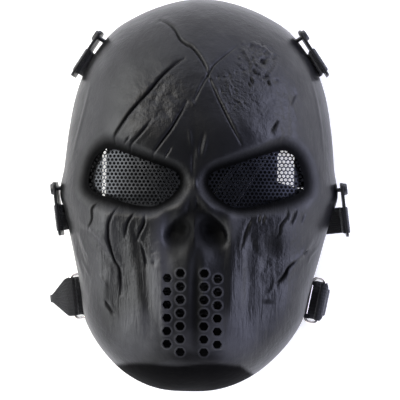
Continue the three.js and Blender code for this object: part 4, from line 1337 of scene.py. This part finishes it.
# %% [markdown]
# Materials
#
# The shell, the buckles and the studs are black ABS. The shell is bead-blasted in the mould, so
# light spreads on it into a satin grey, while the fittings are glossier and darker. The screens
# are blued steel, the webbing is dyed polyester and the rings are chromed wire. Patterns are read
# from object coordinates, which are metres here, from marks stored on the shell's points, or from
# the webbing's own UV.


# %% ABS of the shell
def bump_from(tree, height, strength, distance, normal=None):
    inputs = {"Height": height, "Strength": strength, "Distance": distance}
    if normal is not None:
        inputs["Normal"] = normal
    return add_node(tree, "ShaderNodeBump", inputs).outputs["Normal"]


def noise(tree, per_metre, detail=3.0, roughness=0.5, vector=None):
    if vector is None:
        vector = add_node(tree, "ShaderNodeTexCoord").outputs["Object"]
    return add_node(
        tree,
        "ShaderNodeTexNoise",
        {"Vector": vector, "Scale": per_metre, "Detail": detail, "Roughness": roughness},
    ).outputs["Fac"]


def ramp(tree, value, stops):
    """A colour ramp from (place, hex) pairs."""
    node = add_node(tree, "ShaderNodeValToRGB", {"Fac": value})
    elements = node.color_ramp.elements
    for element, (place, colour) in zip(elements, (stops[0], stops[-1])):
        element.position = place
        element.color = linear(colour)
    for place, colour in stops[1:-1]:
        elements.new(place).color = linear(colour)
    return node.outputs["Color"]


def ranged(tree, value, low, high):
    """Carries 0 to 1 onto low to high."""
    limits = {"Value": value, "To Min": low, "To Max": high}
    return add_node(tree, "ShaderNodeMapRange", limits).outputs["Result"]


def math_node(tree, operation, *values):
    return add_node(tree, "ShaderNodeMath", dict(enumerate(values)), operation=operation).outputs[0]


def mixed(tree, factor, a, b, blend_type="MIX"):
    return add_node(
        tree, "ShaderNodeMix", {0: factor, 6: a, 7: b}, data_type="RGBA", blend_type=blend_type
    ).outputs[2]


def mapped_noise(tree, scale, detail, roughness=0.5, distortion=0.0, turn=0.0):
    """Noise that is stretched along one way of the object, by scales per metre."""
    place = add_node(tree, "ShaderNodeTexCoord").outputs["Object"]
    lie = {"Vector": place, "Scale": scale, "Rotation": (0, 0, turn)}
    vector = add_node(tree, "ShaderNodeMapping", lie)
    inputs = {"Vector": vector.outputs[0], "Scale": 1.0, "Detail": detail}
    inputs.update({"Roughness": roughness, "Distortion": distortion})
    return add_node(tree, "ShaderNodeTexNoise", inputs).outputs["Fac"]


def attribute(tree, name):
    return add_node(tree, "ShaderNodeAttribute", attribute_name=name).outputs["Fac"]


def from_left(tree, left, right):
    """The share of the way across the object between two places, in metres."""
    place = add_node(tree, "ShaderNodeTexCoord").outputs["Object"]
    across = add_node(tree, "ShaderNodeSeparateXYZ", {0: place}).outputs["X"]
    limits = {"Value": across, "From Min": left, "From Max": right}
    return add_node(tree, "ShaderNodeMapRange", limits).outputs["Result"]


def mottled(tree, principled, per_metre, detail, dark, light):
    """Gives a base colour that drifts between two close tones."""
    tones = ramp(tree, noise(tree, per_metre, detail), [(0.3, dark), (0.7, light)])
    tree.links.new(tones, principled.inputs["Base Color"])


SHELL_ABS, tree, principled = new_material("ABS, bead-blasted")
clouds = noise(tree, 22, 4)
lean = from_left(tree, -0.06, 0.05)
# Painted light: olive on the left and violet on the right, as warm and cool light fall there.
light_tint = ramp(tree, lean, [(0.0, "#090908"), (0.45, "#080809"), (1.0, "#07070a")])
patchy = mixed(tree, ranged(tree, clouds, 0.0, 0.8), light_tint, linear("#040405"))
# Painted shade, from 0 to 1: darkens the sockets, nose, cracks, dark spots and chin's underside towards
# black.
painted_shade = attribute(tree, "painted_shade")
# Painted highlight: lighter grey on the ridges beside the nose and the vents' lips, where they catch
# the light, and on places round the mouth and the chin.
strokes = ranged(tree, noise(tree, 90, 5, 0.65), 0.35, 1.0)
highlight_mask = math_node(tree, "MULTIPLY", attribute(tree, "painted_highlight"), strokes)
highlighted = mixed(tree, highlight_mask, patchy, linear("#38383b"))
tree.links.new(mixed(tree, painted_shade, highlighted, linear("#010101")), principled.inputs["Base Color"])
sheen = ranged(tree, noise(tree, 60, 3), 0.3, 0.42)
duller = ranged(tree, painted_shade, 0.0, 0.35)
tree.links.new(math_node(tree, "ADD", sheen, duller), principled.inputs["Roughness"])
# Worn patches shine a little more, and the places of painted shade hardly at all, which darkens them
# further.
worn = ranged(tree, noise(tree, 75, 5, 0.62), 0.14, 0.32)
shine = math_node(tree, "MULTIPLY", worn, math_node(tree, "SUBTRACT", 1.0, painted_shade))
tree.links.new(shine, principled.inputs["Specular IOR Level"])
# Four reliefs too fine for the mesh: grain all over, lumps, streaks down the cheeks, crackle.
grain = bump_from(tree, noise(tree, 900, 2, 0.6), 0.35, 0.0002)
lumps = ranged(tree, attribute(tree, "lumps"), 0.24, 1.0)
lumpy = bump_from(tree, noise(tree, 110, 4, 0.55), lumps, 0.0018, grain)
streaks = ranged(tree, attribute(tree, "streaks"), 0.0, 0.6)
streaky = bump_from(tree, mapped_noise(tree, (230, 34, 60), 4, 0.55, 0.7), streaks, 0.0014, lumpy)
crackle = ranged(tree, attribute(tree, "crackle"), 0.1, 1.0)
crackled = bump_from(tree, noise(tree, 420, 3, 0.6), crackle, 0.0011, streaky)
tree.links.new(crackled, principled.inputs["Normal"])


# Places of the lumps, streaks, painted highlight and crackle in the front view: across, down,
# half widths, turn in degrees and strength.
PLACES = {
    "lumps": [
        (160, 100, 34, 26, -40, 1.0),
        (275, 105, 26, 36, 10, 1.0),
        (125, 245, 30, 34, 0, 0.5),
        (270, 250, 34, 40, 0, 0.6),
        (195, 60, 60, 30, 0, 0.25),
    ],
    "streaks": [
        (120, 270, 38, 70, -12, 1.0),
        (262, 275, 44, 75, 12, 1.0),
        (78, 240, 14, 60, -8, 0.8),
        (318, 150, 14, 80, 4, 0.5),
    ],
    "painted_highlight": [
        (161, 275, 11, 60, 0, 1.0),
        (138, 332, 22, 24, 0, 0.9),
        (232, 336, 24, 22, 0, 0.8),
        (196, 340, 30, 10, 0, 0.4),
        (234, 226, 6, 14, 0, 0.8),
        (108, 250, 16, 50, 0, 0.4),
        (150, 212, 10, 8, 0, 0.5),
    ],
    "crackle": [(258, 64, 20, 22, 0, 1.0), (236, 92, 20, 22, 0, 0.8), (270, 250, 16, 22, 0, 0.4)],
}


def mark_places(obj):
    """Stores how strongly each of those reliefs, and the painted highlight, shows at each point."""
    co = np.zeros(len(obj.data.vertices) * 3)
    obj.data.vertices.foreach_get("co", co)
    base = co.reshape(-1, 3) / MM - SHIFT
    seen = front_view(base)
    for name, spots in PLACES.items():
        total = np.zeros(len(seen))
        for cu, cv, ru, rv, turn, strength in spots:
            c, s = math.cos(math.radians(turn)), math.sin(math.radians(turn))
            du, dv = seen[:, 0] - cu, seen[:, 1] - cv
            far = np.hypot((du * c + dv * s) / ru, (dv * c - du * s) / rv)
            total = np.maximum(total, strength * smooth_step(1.5 - far))
        if name == "painted_highlight":
            # The vents' lips get a thin ring of painted highlight.
            for vx, vy in VENTS:
                d = np.hypot(base[:, 0] - vx, base[:, 1] - vy)
                total = np.maximum(total, 0.9 * np.exp(-(((d - VENT_HOLE / 2 - 0.35) / 0.5) ** 2)))
        obj.data.attributes.new(name, "FLOAT", "POINT").data.foreach_set("value", total)


# Places painted with shade: across, down, half widths, how much. The nostrils, the groove between the
# breathing holes, the hollow under the right eye, the brow's middle and a few dark streaks and spots.
SHADE_SPOTS = [
    (182.5, 229, 6, 10, 0.85),
    (208.5, 229, 6, 10, 0.85),
    (174, 249, 7, 9, 0.55),
    (218, 249, 7, 9, 0.55),
    (195.5, 212, 5, 8, 0.75),
    (195.5, 305, 6, 46, 0.7),
    (195.5, 150, 14, 34, 0.35),
    (273, 244, 8, 13, 0.6),
    (139, 272, 2.5, 24, 0.5),
    (238, 242, 2.5, 14, 0.5),
    (268, 302, 6, 2.5, 0.6),
    (250, 262, 2.5, 16, 0.4),
    (107, 292, 3, 10, 0.4),
    (196, 358, 26, 8, 0.5),
]


def mark_painted_shade(obj):
    """Stores painted shade from 0 to 1: sockets, nose, cracks, dark spots, under the chin."""
    co = np.zeros(len(obj.data.vertices) * 3)
    obj.data.vertices.foreach_get("co", co)
    base = co.reshape(-1, 3) / MM - SHIFT
    seen = front_view(base)
    u, v = seen[:, 0], seen[:, 1]
    deep = np.zeros(len(base))
    for points, half, depth, _, _ in CRACKS:
        near = near_stroke(points, u, v, 8)
        d, share = stroke_distance(points, u[near], v[near])
        taper = np.clip(np.sin(np.pi * np.clip(share, 0.02, 0.98)) * 2, 0, 1)
        deep[near] = np.maximum(deep[near], taper * 0.6 * depth * np.exp(-((d / half) ** 2)))
    nose = ring_distance(closed_spline(NOSE, 64), u, v)
    deep = np.maximum(deep, 0.7 * smooth_step(0.6 - nose / 7) * smooth_step((268 - v) / 30))
    for shade_u, shade_v, ru, rv, strength in SHADE_SPOTS:
        far = np.hypot((u - shade_u) / ru, (v - shade_v) / rv)
        deep = np.maximum(deep, strength * smooth_step(1.5 - far))
    # Painted shade under the chin's lower edge.
    chin_line = 364 + 1.3 * np.cos((u - 175) / 11) + 0.7 * np.maximum(u - 240, 0)
    under = smooth_step((v - chin_line) / 5 + 0.5)
    deep = np.maximum(deep, 0.9 * under * (base[:, 1] < 0))
    # Painted shade round the eye openings.
    for side in (-1, 1):
        edge = ring_distance(eye_ring(side, count=48), base[:, 0], base[:, 1])
        reach = 6.5 + 3.0 * smooth_step((np.abs(base[:, 0]) - EYE_ACROSS) / 25)
        deep = np.maximum(deep, 0.9 * smooth_step(1.15 - edge / reach))
    layer = obj.data.attributes.new("painted_shade", "FLOAT", "POINT")
    layer.data.foreach_set("value", np.clip(deep, 0, 1))


mark_painted_shade(shell)
mark_places(shell)
shell.data.materials.clear()
shell.data.materials.append(SHELL_ABS)

# %% Steel, chrome and the plastic of the fittings
SCREEN_STEEL, tree, principled = new_material("Steel, punched")
principled.inputs["Metallic"].default_value = 1.0
# The sheet is blued, and painted shade makes the right screen darker than the left.
stops = [(0.0, "#313234"), (0.2, "#37383a"), (0.4, "#37383a")]
stops += [(0.6, "#303135"), (0.78, "#1f2024"), (1.0, "#1c1d20")]
blued_and_shaded = ramp(tree, from_left(tree, -0.085, 0.085), stops)
dust = ramp(tree, noise(tree, 140, 3), [(0.3, "#d0d0d0"), (0.7, "#ffffff")])
tree.links.new(mixed(tree, 1.0, blued_and_shaded, dust, "MULTIPLY"), principled.inputs["Base Color"])
tree.links.new(ranged(tree, noise(tree, 300, 2), 0.28, 0.42), principled.inputs["Roughness"])

CHROME, tree, principled = new_material("Steel, chromed")
principled.inputs["Metallic"].default_value = 1.0
mottled(tree, principled, 90, 2, "#e9dfd4", "#f4efe8")
tree.links.new(ranged(tree, noise(tree, 400, 2), 0.08, 0.18), principled.inputs["Roughness"])

FITTING_ABS, tree, principled = new_material("ABS, glossy")
mottled(tree, principled, 80, 3, "#0c0c0d", "#141415")
tree.links.new(ranged(tree, noise(tree, 220, 3), 0.28, 0.42), principled.inputs["Roughness"])
tree.links.new(bump_from(tree, noise(tree, 700, 2), 0.2, 0.0002), principled.inputs["Normal"])

# %% Polyester of the webbing
WEBBING_CLOTH, tree, principled = new_material("Polyester webbing")
uv = add_node(tree, "ShaderNodeUVMap", uv_map="web").outputs["UV"]
parts = add_node(tree, "ShaderNodeSeparateXYZ", {0: uv})
KNIT = 1.1  # length of one knitted loop along the band
across_rib = math_node(tree, "MULTIPLY", parts.outputs["Y"], RIBS / WEBBING_WIDTH)
stagger = math_node(tree, "MULTIPLY", math_node(tree, "FLOOR", across_rib), 0.5)
along = math_node(tree, "ADD", math_node(tree, "DIVIDE", parts.outputs["X"], KNIT), stagger)


def rounds(tree, value, power):
    """A row of round humps, one for each whole number that the value passes."""
    wave = math_node(tree, "SINE", math_node(tree, "MULTIPLY", value, math.pi))
    return math_node(tree, "POWER", math_node(tree, "ABSOLUTE", wave), power)


knit = math_node(tree, "MULTIPLY", rounds(tree, along, 0.6), rounds(tree, across_rib, 0.5))
# Painted shade: the knit's colour darkens into the hollows between its loops.
tree.links.new(ramp(tree, knit, [(0.05, "#030303"), (0.95, "#17171a")]), principled.inputs["Base Color"])
principled.inputs["Roughness"].default_value = 0.82
principled.inputs["Sheen Weight"].default_value = 0.25
principled.inputs["Sheen Roughness"].default_value = 0.5
tree.links.new(bump_from(tree, knit, 0.8, 0.00025), principled.inputs["Normal"])

THREAD, tree, principled = new_material("Polyester thread")
mottled(tree, principled, 1500, 2, "#0a0a0b", "#1d1d20")
principled.inputs["Roughness"].default_value = 0.6

for obj, material in (
    [(screens[k], SCREEN_STEEL) for k in screens]
    + [(rings[k], CHROME) for k in rings]
    + [(straps[k], WEBBING_CLOTH) for k in straps]
):
    obj.data.materials.clear()
    obj.data.materials.append(material)

# %% Buckles and studs keep their solids and gain rounded edges
for node, obj in frame["nodes"].items():
    if not node.startswith(("buckle", "stud")):
        continue
    obj.data.materials.clear()
    obj.data.materials.append(FITTING_ABS)
    weld = obj.modifiers.new("weld", "WELD")
    weld.merge_threshold = 0.00001
    bevel = obj.modifiers.new("edges", "BEVEL")
    bevel.width = 0.00035
    bevel.segments = 2
    bevel.limit_method = "ANGLE"
    bevel.angle_limit = math.radians(25)
    bevel.harden_normals = True
    obj.data.shade_smooth()


# %% Seams
def seam(name, lines, step=2.8):
    """Stitches along straight lines given by two ends, in millimetres."""
    points, ways = [], []
    for a, b in lines:
        a, b = np.array(a, dtype=float), np.array(b, dtype=float)
        length = np.linalg.norm(b - a)
        count = max(1, round(length / step))
        for k in range(count):
            points.append(a + (b - a) * (k + 0.5) / count)
            ways.append((b - a) / length)
    obj = mesh_object(name, (np.array(points) + SHIFT) * MM, [], smooth=False)
    layer = obj.data.attributes.new("way", "FLOAT_VECTOR", "POINT")
    layer.data.foreach_set("vector", np.array(ways).ravel())
    run_tree(obj, SEAM_TREE, {"Material": THREAD})
    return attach(obj, "root")


def box_seam(station, way, across, face, length, width):
    """A rectangle of stitches with its diagonals, on the face of a band."""
    ends = ((-1, -1), (1, -1), (1, 1), (-1, 1))
    c = [station + way * (l * length / 2) + across * (w * width / 2) + face for l, w in ends]
    return [(c[0], c[1]), (c[1], c[2]), (c[2], c[3]), (c[3], c[0]), (c[0], c[2]), (c[1], c[3])]


for side_name in ("left", "right"):
    end = temple_way(BUCKLES["temple_" + side_name])
    (p0, across), (p1, _) = end[-2], end[-1]
    way = (p1 - p0) / np.linalg.norm(p1 - p0)
    up = np.array([0, 0, WEBBING / 2])
    lines = box_seam(p1 - way * (STRAP_LAP / 2 - 1), way, across, up, STRAP_LAP - 7, WEBBING_WIDTH - 5)
    print(seam("temple_seam_" + side_name, lines).name, "made")
for name, place in BUCKLES.items():
    z = place.low + BUCKLE_BAR + 3.0
    out = OUTER_WEB + WEBBING
    ends = [place.point(WEB_ALONG + a, out, z) for a in (3 - WEBBING_WIDTH / 2, WEBBING_WIDTH / 2 - 3)]
    print(seam("hem_" + name, [ends]).name, "made")

# %% [markdown]
# Light and camera
#
# The picture is a catalogue photograph on a white sweep. A satin black surface shows hardly any
# colour of its own, only what it mirrors, so the studio is built round it: a bright band of white
# walls at table height for the pale cheeks and rims, a dark ceiling for the dark middle of the
# face, and weaker bands on the chin's and the crown's side. One soft lamp from the upper left
# models the brow. The table glows a little, as a back-lit one does, and burns out to white. The
# mask is hollow, and a black card under it is painted shade inside it: it keeps the lit table
# from showing through the screens, save at two slots near their outer ends. The camera looks
# straight down on the face from 1.3 metres with a long lens.

# %% Floor
bpy.ops.mesh.primitive_plane_add(size=6)
floor = bpy.context.object
floor.name = "White table"
PAPER, tree, principled = new_material("Paper, white")
mottled(tree, principled, 12, 2, "#f6f6f7", "#fbfbfb")
principled.inputs["Roughness"].default_value = 0.7
principled.inputs["Emission Color"].default_value = linear("#fffdf4")
principled.inputs["Emission Strength"].default_value = 0.4
floor.data.materials.append(PAPER)
# A black card of painted shade inside the mask, with two strips that leave slots for the table's light.
SHADE_CARD, tree, principled = new_material("Painted shade card, black")
mottled(tree, principled, 40, 2, "#020202", "#040404")
principled.inputs["Roughness"].default_value = 0.9
shade_card_edge = [(-67, 60), (-67, -60), (-50, -118), (34, -118), (62, -80), (76, -20), (74, 4)]
shade_card_edge += [(54, 10), (54, 60), (30, 90), (-40, 90)]
left_strip = [(-81, 34), (-81, -24), (-70, -24), (-70, 34)]
right_strip = [(66, 34), (66, 6), (77, 6), (77, 34)]
shade_card_points = (np.array([(x, y, 0.05) for x, y in shade_card_edge + left_strip + right_strip]) + SHIFT) * MM
main = len(shade_card_edge)
shade_card_faces = [range(main), range(main, main + 4), range(main + 4, main + 8)]
shade_card = mesh_object("Painted shade card under the mask", shade_card_points, shade_card_faces, smooth=False)
shade_card.data.materials.append(SHADE_CARD)

# %% White walls and a dark ceiling
WALL_LIGHT = 9.0
CEILING_LIGHT = 0.4
CHIN_SIDE = 0.2  # share of the wall's light that the chin's side has
CROWN_SIDE = 0.3  # and the crown's side

scene = bpy.context.scene
world = bpy.data.worlds.new("Walls and ceiling")
world.use_nodes = True
tree = world.node_tree
outlook = add_node(tree, "ShaderNodeTexCoord").outputs["Generated"]
way = add_node(tree, "ShaderNodeSeparateXYZ", {0: outlook})


def faded(value, start, end, low, high):
    """A smooth passage from one strength to another as a direction's part runs from start to end."""
    limits = {"Value": value, "From Min": start, "From Max": end, "To Min": low, "To Max": high}
    made = add_node(tree, "ShaderNodeMapRange", limits, interpolation_type="SMOOTHSTEP")
    return made.outputs["Result"]


height = faded(way.outputs["Z"], 0.3, 0.75, 1.0, 0.0)
chin = faded(way.outputs["Y"], -0.8, 0.1, CHIN_SIDE, 1.0)
crown = faded(way.outputs["Y"], 0.3, 0.95, 1.0, CROWN_SIDE)
ends = math_node(tree, "MULTIPLY", chin, crown)
band = math_node(tree, "MULTIPLY", height, ends)
walls = math_node(tree, "MULTIPLY", band, WALL_LIGHT - CEILING_LIGHT)
side = add_node(tree, "ShaderNodeMapRange", {"Value": way.outputs["X"], "From Min": -0.7, "From Max": 0.7})
tint = ramp(tree, side.outputs["Result"], [(0.0, "#f4f6f7"), (1.0, "#dde0ff")])
background = tree.nodes["Background"]
tree.links.new(tint, background.inputs["Color"])
tree.links.new(math_node(tree, "ADD", walls, CEILING_LIGHT), background.inputs["Strength"])
scene.world = world
scene.view_settings.view_transform = "Standard"

# %% Lamps
centre = Vector(((SHIFT + [0, 0, 40]) * MM).tolist())


def lamp(name, azimuth, elevation, distance, size, watts, colour):
    """A square soft lamp that faces the mask. Azimuth 0 is the chin's side, 90 the right."""
    data = bpy.data.lights.new(name, "AREA")
    data.size = size
    data.energy = watts
    data.color = linear(colour)[:3]
    obj = bpy.data.objects.new(name, data)
    a, e = math.radians(azimuth), math.radians(elevation)
    away = Vector((math.sin(a) * math.cos(e), -math.cos(a) * math.cos(e), math.sin(e)))
    obj.location = centre + away * distance
    obj.rotation_euler = away.to_track_quat("Z", "Y").to_euler()
    scene.collection.objects.link(obj)
    return obj


lamp("Key, upper left", 235, 40, 1.4, 0.8, 8, "#fff8ee")

# %% Camera
camera_data = bpy.data.cameras.new("Camera")
camera = bpy.data.objects.new("Camera", camera_data)
scene.collection.objects.link(camera)
scene.camera = camera
camera_data.sensor_width = 36
camera_data.lens = VIEW_SCALE * 36 / 400
camera_data.shift_x = (200 - VIEW_MIDDLE[0]) / 400
camera_data.shift_y = (VIEW_MIDDLE[1] - 200) / 400
camera_data.clip_start, camera_data.clip_end = 0.05, 20
back = Vector((math.sin(VIEW_YAW), 0, math.cos(VIEW_YAW)))
right = Vector((math.cos(VIEW_YAW), 0, -math.sin(VIEW_YAW)))
up = Vector((0, 1, 0))
rolled_right = right * math.cos(VIEW_ROLL) + up * math.sin(VIEW_ROLL)
rolled_up = up * math.cos(VIEW_ROLL) - right * math.sin(VIEW_ROLL)
turn = Matrix((rolled_right, rolled_up, back)).transposed()
stand = Vector((SHIFT * MM).tolist()) + back * VIEW_FAR * MM
camera.matrix_world = Matrix.Translation(stand) @ turn.to_4x4()
